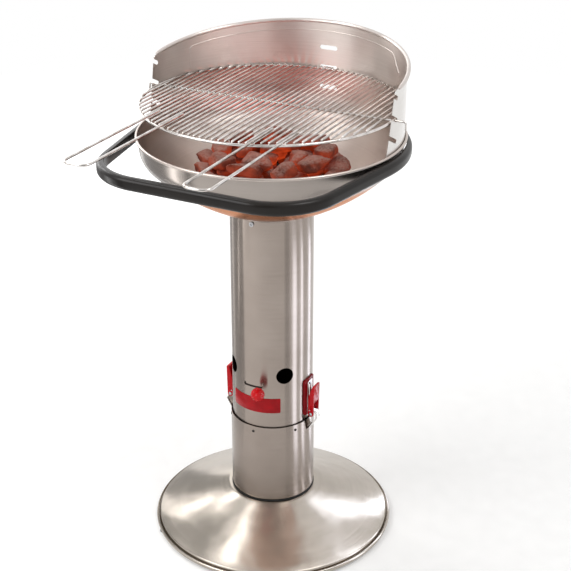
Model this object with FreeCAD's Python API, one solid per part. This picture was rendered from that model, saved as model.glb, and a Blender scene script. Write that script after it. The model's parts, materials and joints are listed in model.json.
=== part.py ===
import FreeCAD, Part
import math
import os

os.makedirs("parts", exist_ok=True)

Vector = FreeCAD.Vector
up = Vector(0, 0, 1)
origin = Vector(0, 0, 0)

# Pedestal charcoal barbecue: a spun base over a steel ballast, two stacked tubes, a bowl
# with a windshield and a bail handle, a wire cooking grid and an air control.
# Millimetres and degrees. +Z is up, the cook stands on the -Y side, and the origin is on
# the floor below the tube. An angle round the tube is 0 at the front and grows towards +X.

cutMargin = 1.0         # how far a cutting shape runs past the faces that it opens

# Base
baseRimR = 243.5        # outermost reach of the rolled rim
baseBeadR = 4.5         # outside radius of the roll
baseSheet = 1.5
basePlateauZ = 79.5     # top of the flat that carries the tube
baseSlope = 23.4        # fall of the cone
baseShoulderR = 12.0    # bend between flat and cone
baseRimBendR = 4.0      # bend between cone and rim
baseHoleR = 40.0
baseFlatMargin = 0.5    # flat beyond the seal ring
padHeight = 3.5         # rubber under the rolled rim
padR = 10.0
padInset = 10.5         # pads' centres inside the base's outermost reach
padWrap = 3.0           # how far a pad climbs round the roll
padCount = 4
ballastR = 150.0
ballastThick = 10.0

# Tubes
upperTubeR = 80.2
tubeWall = 0.8
tubeStep = 3.3          # the lower tube is this much larger in radius
sealThickness = 2.5
sealLip = 2.9           # the black ring shows this far outside the lower tube
lowerTubeHeight = 168.7
upperTubeHeight = 453.8
footFlange = 22.0       # width of the lower tube's turned-in foot
footBendR = 2.0

# Seat ring riveted into the lower tube, which the upper tube stands on
seatSheet = 1.2
seatLegHeight = 13.0
seatLedge = 8.0
seatTopDrop = 4.7       # its upper edge below the lower tube's edge
rivetCount = 6
rivetDrop = 11.0        # below the lower tube's edge
rivetShankR = 1.6
rivetHeadR = 2.8
rivetHeadThick = 0.9
rivetTail = 0.4

# Bolts that tie tube, base and ballast together
tieCount = 4
tieR = 3.0
tieInset = 13.0         # bolt circle inside the lower tube's wall
tieHeadR = 5.5
tieHeadThick = 4.0
tieNutR = 5.7
tieNutThick = 4.8
tieFloor = 2.0          # ballast left under the bolt's end
washerR = 8.0
washerThick = 1.6

# Ash and water pot that stands inside the lower tube
potClearance = 6.0
potSheet = 1.0
potHeight = 116.0
potBeadR = 2.2
potBendR = 6.0
potFootGap = 0.2

# Air control
airHoleR = 17.2
airHoleHeight = 283.0   # above the seal ring
airHoleCount = 4
airHoleAngle = 45.0
damperGap = 0.4
damperSheet = 0.8
damperAbove = 20.5      # damper's edge above the air holes' centre
damperBelow = 47.0
damperHoleGrowth = 0.8
restSheet = 1.0
restLedge = 6.0
restHeight = 5.0
restGap = 0.3
stemDrop = 25.0         # stem below the air holes' centre
stemR = 1.8
stemAngle = 12.0        # where the stem stands with the holes open
airTravel = 26.2        # turn that closes the holes
slotClearance = 0.4
notchRise = 3.5         # upturned end of the slot
knobR = 13.6
knobStand = 27.6        # centre of the knob outside the upper tube
knobFacetDepth = 0.7
knobFacetAngles = [-60, -30, 0, 30, 60, 90]     # tilt of each row of flats
knobFacetCounts = [6, 9, 10, 9, 6, 1]
stemNutR = 4.2
stemNutThick = 2.6
stemEnd = 1.0           # thread left beyond a nut
collarR = 3.6
collarLength = 4.0
collarSink = 1.0        # collar let into the knob

# Name plate, left bare
plateHalfAngle = 38.5
plateHeight = 32.0
plateThick = 0.6
plateBottom = 202.0     # above the seal ring
plateGlue = 0.1

# Latches at both sides; u is the distance from the tube's axis
latchAngle = 90.0
latchPadHalf = 20.0
latchPadThick = 3.4
latchPadBottom = 180.0  # above the seal ring
latchPadHeight = 79.0
latchPadRound = 6.0
latchRivetLow = 22.0    # above the pad's bottom
latchRivetHigh = 67.0
bracketStand = 1.6      # pad left under the bracket
bracketHalf = 9.8
bracketSheet = 1.6
bracketTopInset = 7.0
pivotStand = 10.8       # pivot outside the upper tube
pivotRise = 3.0         # above the bottom of the pad
pivotR = 2.0
pivotHeadR = 3.4
pivotHeadThick = 1.0
earR = 4.0
webRise = 5.0
hookPinIn = 2.5         # hook pin inside the pivot
hookPinUp = 7.5         # hook pin above the pivot
hookPinR = 1.5
pinClearance = 0.05
leverHalf = 12.4
leverSheet = 2.1
leverBottomR = 6.0
leverHeight = 62.0
leverLean = 1.5
leverTopDepth = 4.2
leverTopInset = 1.2
leverWaist = 38.0       # height where the cheek starts to narrow
leverWindow = 26.0      # fork opening above the pivot
hookSheet = 1.5
hookHalf = 7.0
hookWideHalf = 12.0
hookBulge = 8.5         # hook's outermost bend outside the pivot
hookShoulderIn = 1.5
hookShoulderDrop = 4.5
hookWaistDrop = 11.5
hookHeel = 3.0          # hook's last bend outside the lower tube
hookTipInside = 3.6     # tongue inside the lower tube's wall
latchSlitHalf = 14.5
latchSlitHeight = 3.4
latchSlitDrop = 20.2    # below the lower tube's edge

# Bowl
rimR = 250.0
rimBeadR = 2.6
rimRoll = 250.0         # how far round the rim is rolled
bowlSheet = 1.0
bowlWallDrop = 27.0
bowlWallTaper = 6.0
bowlCornerR = 40.0
bowlDishTop = 45.0      # slope of the dish under the corner
bowlDishEnd = 20.0      # slope of the dish at the tube
collarFlange = 11.0     # width of the collar's flange, welded under the dish
collarBendR = 3.0
collarNeck = 16.0       # how far the collar reaches down into the tube
neckClearance = 0.3
neckScrewDrop = 6.0     # screws below the top of the tube
neckScrewCount = 3
neckScrewR = 2.5
neckScrewHeadR = 4.6
neckScrewHeadThick = 2.4
neckNutR = 4.6
neckNutThick = 3.6
crossWidth = 1.0
crossDepth = 1.2

# Charcoal grate and charcoal
grateR = 150.0
grateThick = 3.0
grateRimWidth = 12.0
grateBarPitch = 15.0
grateBarWidth = 6.0
grateGap = 0.1
coalLength = 40.0
coalWidth = 34.0
coalHeight = 27.0
coalRound = 7.0
coalGap = 3.0
coalLayers = [(50.0, 3), (31.0, 3), (46.0, 2)]    # innermost ring radius and rings

# Bail handle round the front of the bowl
handleHeight = 24.0
handleWidth = 13.8
handleTopDrop = 8.1     # below the rim
handleStandOff = 48.1   # inner face ahead of the rim
handleCornerR = 105.4   # inside radius of the front corners
handleInward = 9.9      # the arms close in by this angle
handleEndAngle = 112.0
handleOuterRound = 6.5
handleInnerRound = 1.5
handleGap = 0.3
handleBoltAngles = [85.5, 104.0]
handleBoltR = 2.5
handleHeadR = 4.6
handleHeadThick = 2.6
handleHeadClearance = 0.3
handleCounterbore = 5.0
handleNutR = 4.6
handleNutThick = 3.6
handleNutGap = 0.1      # between a nut's corners and the windshield's skirt

# Windshield
shieldSheet = 0.8
shieldGap = 0.3
shieldSkirt = 29.0      # how far it reaches down inside the bowl
shieldSkirtBendR = 3.0
shieldMid = 111.3       # centre of its top roll above the rim, at the sides
shieldRise = 34.9       # further height at the back
shieldBeadR = 4.0
shieldBeadWall = 0.9
shieldBeadOut = 1.9     # centre of the roll outside the sheet
shieldBeadEnd = 88.5    # the roll's end, angle from the back
shieldFront = 30.5      # front edge ahead of the axis, at the rim
shieldEdgeLean = 11.6
shieldCornerR = 11.0
levelPitch = 39.5       # between the cooking levels
levelCount = 3
hookSlotHalf = 3.9
hookSlotSlope = 27.0
hookSlotEnd = 3.0       # slots' inner ends behind the axis
backSlotHalf = 18.5
backSlotHeight = 8.6

# Cooking grid
gridHeight = 54.6       # ring centre above the rim
gridInset = 10.8        # ring's centre line inside the rim
ringWireR = 2.5
gridWireR = 2.0
gridPitch = 11.83
crossWireR = 2.2
crossWireY = [0.0]
weldSink = 0.3
hookWireR = 2.0
hookWireY = 4.0
hookOverhang = 12.5     # hooks' reach beyond the rim
hookLegLength = 17.0
hookBendR = 5.0
tongueHalf = 12.0
tongueInset = 4.0       # tongue's outer wire inside the rim
tongueBendR = 3.0
tongueWireR = 2.2
handleWireR = 2.4
handleWireEnd = 152.0
handleWireCornerR = 15.0
handleWires = {"right": (7, 11, 207.0), "left": (-12, -8, 201.0)}    # two grid wires, reach past the rim
shortestWireHalf = 45.0     # no grid wire is shorter than twice this

# Worked out from the sizes above
sealTop = basePlateauZ + sealThickness
lowerTubeR = upperTubeR + tubeStep
splitZ = sealTop + lowerTubeHeight
seatLedgeZ = splitZ - seatTopDrop - seatLegHeight
upperTubeBottom = seatLedgeZ + seatSheet
upperTubeTop = upperTubeBottom + upperTubeHeight
rivetZ = splitZ - rivetDrop
airHoleZ = sealTop + airHoleHeight
stemZ = airHoleZ - stemDrop
tubeInnerR = upperTubeR - tubeWall
damperR = tubeInnerR - damperGap
neckR = tubeInnerR - neckClearance
neckScrewZ = upperTubeTop - neckScrewDrop
latchLow = sealTop + latchPadBottom
pivotZ = latchLow + pivotRise
latchRivetZ = [latchLow + latchRivetLow, latchLow + latchRivetHigh]
bracketU = upperTubeR + bracketStand
pivotU = upperTubeR + pivotStand
knobReach = upperTubeR + knobStand
handleFront = rimR + handleStandOff
gridRingR = rimR - gridInset
hookReach = rimR + hookOverhang
tongueReach = rimR - tongueInset


def radial(angle, distance, z=0.0):
    a = math.radians(angle)
    return Vector(distance * math.sin(a), -distance * math.cos(a), z)


def evenly(count, first=0.0):
    return [first + k * 360.0 / count for k in range(count)]


def turned(shape, angle):
    copy = shape.copy()
    copy.rotate(origin, up, angle)
    return copy


def pillar(radius, z0, z1, spot=origin):
    return Part.makeCylinder(radius, z1 - z0, Vector(spot.x, spot.y, z0))


def ring(outer, inner, z0, z1):
    return pillar(outer, z0, z1).cut(pillar(inner, z0, z1))


def spoke(radius, angle, z, near, far):
    return Part.makeCylinder(radius, far - near, radial(angle, near, z), radial(angle, 1))


def sector(shape, first, last, z0, z1):
    """Part of a ring between two angles."""
    wedge = Part.makeCylinder(2 * upperTubeR, z1 - z0, Vector(0, 0, z0), up, last - first)
    return shape.common(turned(wedge, first - 90))


def hexNut(corner, height, base, axis, bore=0.0):
    points = [Vector(corner * math.cos(math.radians(60 * k)), corner * math.sin(math.radians(60 * k)), 0)
              for k in range(7)]
    solid = Part.Face(Part.makePolygon(points)).extrude(Vector(0, 0, height))
    if bore:
        solid = solid.cut(Part.makeCylinder(bore, height))
    solid.Placement = FreeCAD.Placement(base, FreeCAD.Rotation(up, axis))
    return solid


def nutInside(corner, height, bore, angle, z, wallR):
    """Nut whose corners touch the inside of a round wall."""
    face = math.sqrt(wallR ** 2 - corner ** 2)
    return hexNut(corner, height, radial(angle, face - height, z), radial(angle, 1), bore)


def pathEdges(start, heading, steps, offset, plane):
    """Edges of a line of runs and bends, moved sideways to the left by an offset."""
    edges = []
    x, y = start
    a = math.radians(heading)

    def beside(px, py, angle):
        return plane(px - offset * math.sin(angle), py + offset * math.cos(angle))

    for step in steps:
        here = beside(x, y, a)
        if step[0] == "run":
            x += step[1] * math.cos(a)
            y += step[1] * math.sin(a)
            edges.append(Part.makeLine(here, beside(x, y, a)))
            continue
        radius, turn = step[1], math.radians(step[2])
        side = math.copysign(radius, turn)
        cx = x - side * math.sin(a)
        cy = y + side * math.cos(a)
        half = a + turn / 2
        a += turn
        x = cx + side * math.sin(a)
        y = cy - side * math.cos(a)
        middle = beside(cx + side * math.sin(half), cy - side * math.cos(half), half)
        edges.append(Part.Arc(here, middle, beside(x, y, a)).toShape())
    return edges


def strip(start, heading, steps, thickness, plane):
    """Face of a sheet's section, from the runs and bends of its middle line."""
    left = pathEdges(start, heading, steps, thickness / 2, plane)
    right = pathEdges(start, heading, steps, -thickness / 2, plane)
    near = Part.makeLine(right[0].Vertexes[0].Point, left[0].Vertexes[0].Point)
    far = Part.makeLine(left[-1].Vertexes[-1].Point, right[-1].Vertexes[-1].Point)
    return Part.Face(Part.Wire(left + [far] + right[::-1] + [near]))


def inSection(r, z):
    return Vector(r, 0, z)


def inPlan(x, y):
    return Vector(x, y, 0)


def spun(face):
    return face.revolve(origin, up, 360)


def sweep(edges, profile):
    return Part.Wire(edges).makePipeShell([profile], True, True)


def rod(points, radius, bend):
    """Round wire through points, with each corner rounded to the bend radius."""
    edges = []
    here = points[0]
    for before, corner, after in zip(points, points[1:], points[2:]):
        a = (before - corner).normalize()
        b = (after - corner).normalize()
        half = a.getAngle(b) / 2
        start = corner + a * (bend / math.tan(half))
        end = corner + b * (bend / math.tan(half))
        middle = corner + (a + b).normalize() * (bend / math.sin(half) - bend)
        edges += [Part.makeLine(here, start), Part.Arc(start, middle, end).toShape()]
        here = end
    edges.append(Part.makeLine(here, points[-1]))
    return sweep(edges, Part.Wire(Part.makeCircle(radius, points[0], points[1] - points[0])))


def keep(name, shape):
    shape.exportStep("parts/" + name + ".step")


def group(solids):
    return Part.makeCompound(solids)


# Base


def tieSpots(z=0.0):
    return [radial(angle, lowerTubeR - tieInset, z) for angle in evenly(tieCount, 45)]


def bored(shape, spots, radius, z0, z1):
    for spot in spots:
        shape = shape.cut(pillar(radius, z0, z1, spot))
    return shape


def baseDisc():
    middle = basePlateauZ - baseSheet / 2
    wallR = baseRimR - 2 * baseBeadR + baseSheet / 2
    slope = math.radians(baseSlope)
    flatEnd = lowerTubeR + sealLip + baseFlatMargin
    coneStartR = flatEnd + baseShoulderR * math.sin(slope)
    coneStartZ = middle - baseShoulderR * (1 - math.cos(slope))
    coneEndR = wallR - baseRimBendR * (1 - math.sin(slope))
    cone = (coneEndR - coneStartR) / math.cos(slope)
    wallTop = coneStartZ - cone * math.sin(slope) - baseRimBendR * math.cos(slope)
    steps = [("run", flatEnd - baseHoleR),
             ("bend", baseShoulderR, -baseSlope),
             ("run", cone),
             ("bend", baseRimBendR, baseSlope - 90),
             ("run", wallTop - padHeight - baseBeadR),
             ("bend", baseBeadR - baseSheet / 2, 250)]
    disc = spun(strip((baseHoleR, middle), 0, steps, baseSheet, inSection))
    return bored(disc, tieSpots(), tieR, basePlateauZ - baseSheet, basePlateauZ)


def baseBallast():
    disc = pillar(ballastR, 0, ballastThick)
    return bored(disc, tieSpots(), tieR, tieFloor, ballastThick)


def footPads():
    roll = Part.makeTorus(baseRimR - baseBeadR, baseBeadR, Vector(0, 0, padHeight + baseBeadR))
    pads = []
    for angle in evenly(padCount, 45):
        pad = pillar(padR, 0, padHeight + padWrap, radial(angle, baseRimR - padInset))
        pads.append(pad.cut(roll))
    return group(pads)


def sealRing():
    body = ring(lowerTubeR + sealLip, lowerTubeR - footFlange, basePlateauZ, sealTop)
    return bored(body, tieSpots(), tieR, basePlateauZ, sealTop)


def tieBolts():
    head = sealTop + tubeWall
    bolts = []
    for spot in tieSpots():
        shank = pillar(tieR, tieFloor, head, spot)
        bolts.append(shank.fuse(hexNut(tieHeadR, tieHeadThick, spot + Vector(0, 0, head), up)))
    return group(bolts)


def tieNuts():
    lows = [basePlateauZ - baseSheet - washerThick - tieNutThick, ballastThick + washerThick]
    return group([hexNut(tieNutR, tieNutThick, spot, up, tieR) for z in lows for spot in tieSpots(z)])


def tieWashers():
    lows = [basePlateauZ - baseSheet - washerThick, ballastThick]
    washers = []
    for z in lows:
        for spot in tieSpots():
            disc = pillar(washerR, z, z + washerThick, spot)
            washers.append(disc.cut(pillar(tieR, z, z + washerThick, spot)))
    return group(washers)


def lowerTube():
    half = tubeWall / 2
    steps = [("run", footFlange - half - footBendR),
             ("bend", footBendR, 90),
             ("run", lowerTubeHeight - half - footBendR)]
    tube = spun(strip((lowerTubeR - footFlange, sealTop + half), 0, steps, tubeWall, inSection))
    tube = bored(tube, tieSpots(), tieR, sealTop, sealTop + tubeWall)
    for angle in evenly(rivetCount):
        tube = tube.cut(spoke(rivetShankR, angle, rivetZ, tubeInnerR, lowerTubeR + cutMargin))
    low = splitZ - latchSlitDrop - latchSlitHeight / 2
    slit = Part.makeBox(2 * latchSlitHalf, tubeStep + tubeWall + cutMargin, latchSlitHeight,
                        Vector(-latchSlitHalf, -lowerTubeR - cutMargin, low))
    for angle in (latchAngle, -latchAngle):
        tube = tube.cut(turned(slit, angle))
    return tube


def ashPot():
    wallR = lowerTubeR - tubeWall - potClearance - 2 * potBeadR + potSheet / 2
    floorZ = sealTop + tubeWall + tieHeadThick + potFootGap + potSheet / 2
    steps = [("run", wallR - potBendR),
             ("bend", potBendR, 90),
             ("run", potHeight - potBendR - potBeadR),
             ("bend", potBeadR - potSheet / 2, -250)]
    return spun(strip((0, floorZ), 0, steps, potSheet, inSection))


def seatRing():
    legR = lowerTubeR - tubeWall - seatSheet / 2
    steps = [("run", seatLedge),
             ("bend", seatSheet, 90),
             ("run", seatLegHeight - 1.5 * seatSheet)]
    start = (legR - seatSheet - seatLedge, seatLedgeZ + seatSheet / 2)
    seat = spun(strip(start, 0, steps, seatSheet, inSection))
    for angle in evenly(rivetCount):
        seat = seat.cut(spoke(rivetShankR, angle, rivetZ, tubeInnerR, lowerTubeR))
    return seat


def rivet(angle, z, near, far):
    """Rivet with its round head outside, at the far end."""
    shank = spoke(rivetShankR, angle, z, near, far)
    return shank.fuse(spoke(rivetHeadR, angle, z, far, far + rivetHeadThick))


def tubeRivets():
    near = lowerTubeR - tubeWall - seatSheet - rivetTail
    return group([rivet(angle, rivetZ, near, lowerTubeR) for angle in evenly(rivetCount)])


# Upper tube and its air control


def airHoles(growth):
    """Cuts for the air holes, through the tube and the damper ring."""
    near = math.sqrt((damperR - damperSheet) ** 2 - (airHoleR + growth) ** 2) - cutMargin
    return [spoke(airHoleR + growth, angle, airHoleZ, near, upperTubeR + cutMargin)
            for angle in evenly(airHoleCount, airHoleAngle)]


def stemSlot():
    """Slot for the stem, from its open to its closed place, with an upturned end."""
    half = stemR + slotClearance
    first = stemAngle - airTravel
    near = tubeInnerR - cutMargin
    far = upperTubeR + cutMargin
    band = ring(far, near, stemZ - half, stemZ + half)
    slot = sector(band, first, stemAngle, stemZ - half, stemZ + half)
    ends = [spoke(half, angle, z, near, far)
            for angle, z in ((first, stemZ), (stemAngle, stemZ), (first, stemZ + notchRise))]
    notch = Part.makeBox(2 * half, far - near, notchRise, Vector(-half, -far, stemZ))
    return slot.fuse(ends + [turned(notch, first)])


def upperTube():
    tube = ring(upperTubeR, tubeInnerR, upperTubeBottom, upperTubeTop)
    cuts = airHoles(0) + [stemSlot()]
    for angle in evenly(neckScrewCount):
        cuts.append(spoke(neckScrewR, angle, neckScrewZ, tubeInnerR - cutMargin, upperTubeR + cutMargin))
    for angle in (latchAngle, -latchAngle):
        for z in latchRivetZ:
            cuts.append(spoke(rivetShankR, angle, z, tubeInnerR - cutMargin, upperTubeR + cutMargin))
    return tube.cut(cuts)


def neckScrews():
    screws = []
    near = neckR - bowlSheet - neckNutThick - stemEnd
    tip = upperTubeR + neckScrewHeadThick
    arm = neckScrewHeadR * 0.6
    for angle in evenly(neckScrewCount):
        head = spoke(neckScrewHeadR, angle, neckScrewZ, tubeInnerR, tip)
        head = head.cut(pillar(upperTubeR, neckScrewZ - 2 * neckScrewHeadR, neckScrewZ + 2 * neckScrewHeadR))
        for width, height in ((arm, crossWidth / 2), (crossWidth / 2, arm)):
            bar = Part.makeBox(2 * width, crossDepth, 2 * height,
                               Vector(-width, -tip, neckScrewZ - height))
            head = head.cut(turned(bar, angle))
        shank = spoke(neckScrewR, angle, neckScrewZ, near, upperTubeR)
        screws.append(shank.fuse(head))
    return group(screws)


def neckNuts():
    return group([nutInside(neckNutR, neckNutThick, neckScrewR, angle, neckScrewZ, neckR - bowlSheet)
                  for angle in evenly(neckScrewCount)])


def namePlate():
    low = sealTop + plateBottom
    near = upperTubeR + plateGlue
    band = ring(near + plateThick, near, low, low + plateHeight)
    return sector(band, -plateHalfAngle, plateHalfAngle, low, low + plateHeight)


def damperRest():
    """Ledge inside the tube that carries the damper."""
    start = (tubeInnerR - restSheet / 2, airHoleZ - damperBelow - restHeight)
    steps = [("run", restHeight - 1.5 * restSheet),
             ("bend", restSheet, 90),
             ("run", restLedge - 1.5 * restSheet)]
    return spun(strip(start, 90, steps, restSheet, inSection))


def damperRing():
    inner = damperR - damperSheet
    damper = ring(damperR, inner, airHoleZ - damperBelow + restGap, airHoleZ + damperAbove)
    damper = damper.cut(airHoles(damperHoleGrowth))
    return damper.cut(spoke(stemR, stemAngle, stemZ, inner - cutMargin, damperR + cutMargin))


def airStem():
    nutFace = math.sqrt((damperR - damperSheet) ** 2 - stemNutR ** 2)
    stem = spoke(stemR, stemAngle, stemZ, nutFace - stemNutThick - stemEnd, knobReach)
    collarEnd = knobReach - knobR + collarSink
    return stem.fuse(spoke(collarR, stemAngle, stemZ, collarEnd - collarLength, collarEnd))


def airStemNut():
    return nutInside(stemNutR, stemNutThick, stemR, stemAngle, stemZ, damperR - damperSheet)


def airKnob():
    """Ball cut into flat facets."""
    ball = Part.makeSphere(knobR)
    for row, (tilt, count) in enumerate(zip(knobFacetAngles, knobFacetCounts)):
        t = math.radians(tilt)
        for turn in evenly(count, row % 2 * 180.0 / count):
            a = math.radians(turn)
            normal = Vector(math.cos(t) * math.cos(a), math.cos(t) * math.sin(a), math.sin(t))
            ball = ball.cut(Part.makeCylinder(knobR, knobR, normal * (knobR - knobFacetDepth), normal))
    turnOut = FreeCAD.Rotation(up, radial(stemAngle, 1))
    ball.Placement = FreeCAD.Placement(radial(stemAngle, knobReach, stemZ), turnOut)
    collarEnd = knobReach - knobR + collarSink
    ball = ball.cut(spoke(collarR, stemAngle, stemZ, collarEnd - collarLength, collarEnd))
    return ball.cut(spoke(stemR, stemAngle, stemZ, collarEnd - cutMargin, knobReach))


# Latches. Each piece is drawn with u along +X and then turned to its side


def slab(points, near, far):
    """Prism of a polygon in u and z, from near to far along the tube's skin."""
    corners = [Vector(u, near, z) for u, z in points]
    return Part.Face(Part.makePolygon(corners + corners[:1])).extrude(Vector(0, far - near, 0))


def axle(radius, u, z, half):
    return Part.makeCylinder(radius, 2 * half, Vector(u, -half, z), Vector(0, 1, 0))


def latchRivetHoles(shape):
    near = tubeInnerR - cutMargin
    far = bracketU + bracketSheet + cutMargin
    return shape.cut([spoke(rivetShankR, latchAngle, z, near, far) for z in latchRivetZ])


def latchPad():
    skin = upperTubeR + latchPadThick
    body = ring(skin, upperTubeR, latchLow, latchLow + latchPadHeight)
    outline = Part.makeBox(2 * skin, 2 * latchPadHalf, latchPadHeight, Vector(0, -latchPadHalf, latchLow))
    corners = [e for e in outline.Edges if abs(e.tangentAt(e.FirstParameter).x) > 0.9]
    body = body.common(outline.makeFillet(latchPadRound, corners))
    recess = Part.makeBox(skin, 2 * bracketHalf, latchPadHeight - bracketTopInset,
                          Vector(bracketU, -bracketHalf, latchLow))
    return latchRivetHoles(body.cut(recess))


def latchBracket():
    """Steel strip on the pad with two ears that hold the lever's pivot."""
    front = bracketU + bracketSheet
    top = latchLow + latchPadHeight - bracketTopInset
    pieces = [slab([(bracketU, latchLow), (front, latchLow), (front, top), (bracketU, top)],
                   -bracketHalf, bracketHalf)]
    web = [(bracketU, latchLow), (pivotU, pivotZ - earR), (pivotU, pivotZ + earR),
           (bracketU, pivotZ + webRise)]
    for near in (-bracketHalf, bracketHalf - bracketSheet):
        ear = Part.makeCylinder(earR, bracketSheet, Vector(pivotU, near, pivotZ), Vector(0, 1, 0))
        pieces += [slab(web, near, near + bracketSheet), ear]
    body = pieces[0].fuse(pieces[1:]).cut(axle(pivotR, pivotU, pivotZ, leverHalf))
    return latchRivetHoles(body)


def latchRivets():
    far = bracketU + bracketSheet
    return [rivet(latchAngle, z, tubeInnerR - rivetTail, far) for z in latchRivetZ]


def latchLever():
    """Forked lever: two cheeks joined by an outer face above the fork."""
    inner = pivotU - leverBottomR
    outer = pivotU + leverBottomR
    lean = leverLean / leverHeight
    top = pivotZ + leverHeight
    tip = outer + leverLean
    back = tip - leverTopDepth
    cheek = [(inner, pivotZ), (outer, pivotZ), (tip, top), (back, top),
             (inner + leverTopInset, pivotZ + leverWaist)]
    faceLow = pivotZ + leverWindow
    faceU = outer + lean * leverWindow
    face = [(faceU - leverSheet, faceLow), (faceU, faceLow), (tip, top), (tip - leverSheet, top)]
    cap = [(back, top - leverSheet), (tip, top - leverSheet), (tip, top), (back, top)]
    pieces = [slab(face, -leverHalf, leverHalf), slab(cap, -leverHalf, leverHalf)]
    for near in (-leverHalf, leverHalf - leverSheet):
        boss = Part.makeCylinder(leverBottomR, leverSheet, Vector(pivotU, near, pivotZ), Vector(0, 1, 0))
        pieces += [slab(cheek, near, near + leverSheet), boss]
    body = pieces[0].fuse(pieces[1:]).removeSplitter()
    pin = hookPinCentre()
    body = body.cut(axle(pivotR + pinClearance, pivotU, pivotZ, leverHalf + cutMargin))
    return body.cut(axle(hookPinR, pin.x, pin.z, leverHalf + cutMargin))


def hookPinCentre():
    return Vector(pivotU - hookPinIn, 0, pivotZ + hookPinUp)


def latchHook():
    """Hook plate: an eye on its pin, a bulge round the pivot and a tongue into the slit."""
    pin = hookPinCentre()
    eyeR = hookPinR + pinClearance + hookSheet
    slitZ = splitZ - latchSlitDrop
    bulgeU = pivotU + hookBulge
    spine = [(pin.x + eyeR - hookSheet / 2, pin.z, hookHalf),
             (bulgeU - hookShoulderIn, pin.z - hookShoulderDrop, hookHalf),
             (bulgeU, pivotZ - hookWaistDrop, hookHalf),
             (lowerTubeR + hookHeel, slitZ, hookWideHalf),
             (lowerTubeR - tubeWall - hookTipInside, slitZ, hookWideHalf)]
    pieces = []
    for (u0, z0, _), (u1, z1, half) in zip(spine, spine[1:]):
        length = math.hypot(u1 - u0, z1 - z0)
        du = -(z1 - z0) / length * hookSheet / 2
        dz = (u1 - u0) / length * hookSheet / 2
        pieces.append(slab([(u0 + du, z0 + dz), (u1 + du, z1 + dz), (u1 - du, z1 - dz), (u0 - du, z0 - dz)],
                           -half, half))
    for u, z, half in spine[1:4]:
        pieces.append(axle(hookSheet / 2, u, z, half))
    eye = axle(eyeR, pin.x, pin.z, hookHalf)
    body = eye.fuse(pieces).removeSplitter()
    return body.cut(axle(hookPinR + pinClearance, pin.x, pin.z, hookHalf + cutMargin))


def pivotPin():
    half = leverHalf + pinClearance
    shank = axle(pivotR, pivotU, pivotZ, half)
    heads = [Part.makeCylinder(pivotHeadR, pivotHeadThick, Vector(pivotU, y, pivotZ), Vector(0, 1, 0))
             for y in (half, -half - pivotHeadThick)]
    return shank.fuse(heads)


def hookPin():
    pin = hookPinCentre()
    return axle(hookPinR, pin.x, pin.z, leverHalf)


# Bowl, grate and charcoal


def bowlLine():
    """The bowl's middle line below its rim: start, wall run, dish start and radius, seat."""
    lean = math.radians(bowlWallTaper)
    steep = math.radians(bowlDishTop)
    flat = math.radians(bowlDishEnd)
    rollR = rimBeadR - bowlSheet / 2
    startR = rimR - rimBeadR - rollR * math.cos(lean)
    startZ = -rimBeadR + rollR * math.sin(lean)
    wallRun = (bowlWallDrop + startZ) / math.cos(lean)
    dishR = startR - wallRun * math.sin(lean) - bowlCornerR * (math.cos(lean) - math.sin(steep))
    dishZ = -bowlWallDrop - bowlCornerR * (math.cos(steep) - math.sin(lean))
    neckMiddle = neckR - bowlSheet / 2
    endR = neckMiddle + collarBendR * (1 - math.sin(flat)) - bowlSheet * math.sin(flat)
    radius = (dishR - endR) / (math.sin(steep) - math.sin(flat))
    endZ = dishZ - radius * (math.cos(flat) - math.cos(steep))
    # the tube's inner edge touches the hollow side of the collar's bend
    reach = neckMiddle + collarBendR - tubeInnerR
    hollow = math.sqrt((collarBendR - bowlSheet / 2) ** 2 - reach ** 2)
    seat = endZ - (bowlSheet + collarBendR) * math.cos(flat) + hollow
    return startR, startZ, wallRun, dishR, dishZ, radius, seat


rimZ = upperTubeTop - bowlLine()[6]


def wallMiddleR(drop):
    """Middle radius of the bowl's wall, a drop below the rim."""
    startR, startZ = bowlLine()[:2]
    return startR - (startZ + drop) * math.tan(math.radians(bowlWallTaper))


def dishTopZ(r):
    """Height of the dish's inner face at a radius."""
    dishR, dishZ, radius = bowlLine()[3:6]
    steep = math.radians(bowlDishTop)
    slope = math.asin(math.sin(steep) - (dishR - r) / radius)
    middle = dishZ - radius * (math.cos(slope) - math.cos(steep))
    return rimZ + middle + bowlSheet / 2 / math.cos(slope)


def bowl():
    startR, startZ, wallRun, dishR, dishZ, radius, seat = bowlLine()
    rollR = rimBeadR - bowlSheet / 2
    first = math.radians(180 - rimRoll)
    start = (rimR - rimBeadR + rollR * math.cos(first), rimZ - rimBeadR + rollR * math.sin(first))
    steps = [("bend", rollR, rimRoll - bowlWallTaper),
             ("run", wallRun),
             ("bend", bowlCornerR, bowlWallTaper + bowlDishTop - 90),
             ("bend", radius, bowlDishEnd - bowlDishTop)]
    body = spun(strip(start, 270 - rimRoll, steps, bowlSheet, inSection))
    return body.cut(handleBoltHoles())


def bowlCollar():
    """Flanged ring under the dish that stands in the tube."""
    dishR, dishZ, radius = bowlLine()[3:6]
    radius += bowlSheet
    turn = math.degrees(collarFlange / radius)
    steep = math.radians(bowlDishTop)
    slope = math.radians(bowlDishEnd + turn)
    centreR = dishR - (radius - bowlSheet) * math.sin(steep)
    centreZ = dishZ + (radius - bowlSheet) * math.cos(steep)
    start = (centreR + radius * math.sin(slope), rimZ + centreZ - radius * math.cos(slope))
    steps = [("bend", radius, -turn),
             ("bend", collarBendR, 90 - bowlDishEnd),
             ("run", collarNeck)]
    body = spun(strip(start, 180 + bowlDishEnd + turn, steps, bowlSheet, inSection))
    near = neckR - bowlSheet - cutMargin
    return body.cut([spoke(neckScrewR, angle, neckScrewZ, near, neckR + cutMargin)
                     for angle in evenly(neckScrewCount)])


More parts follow.
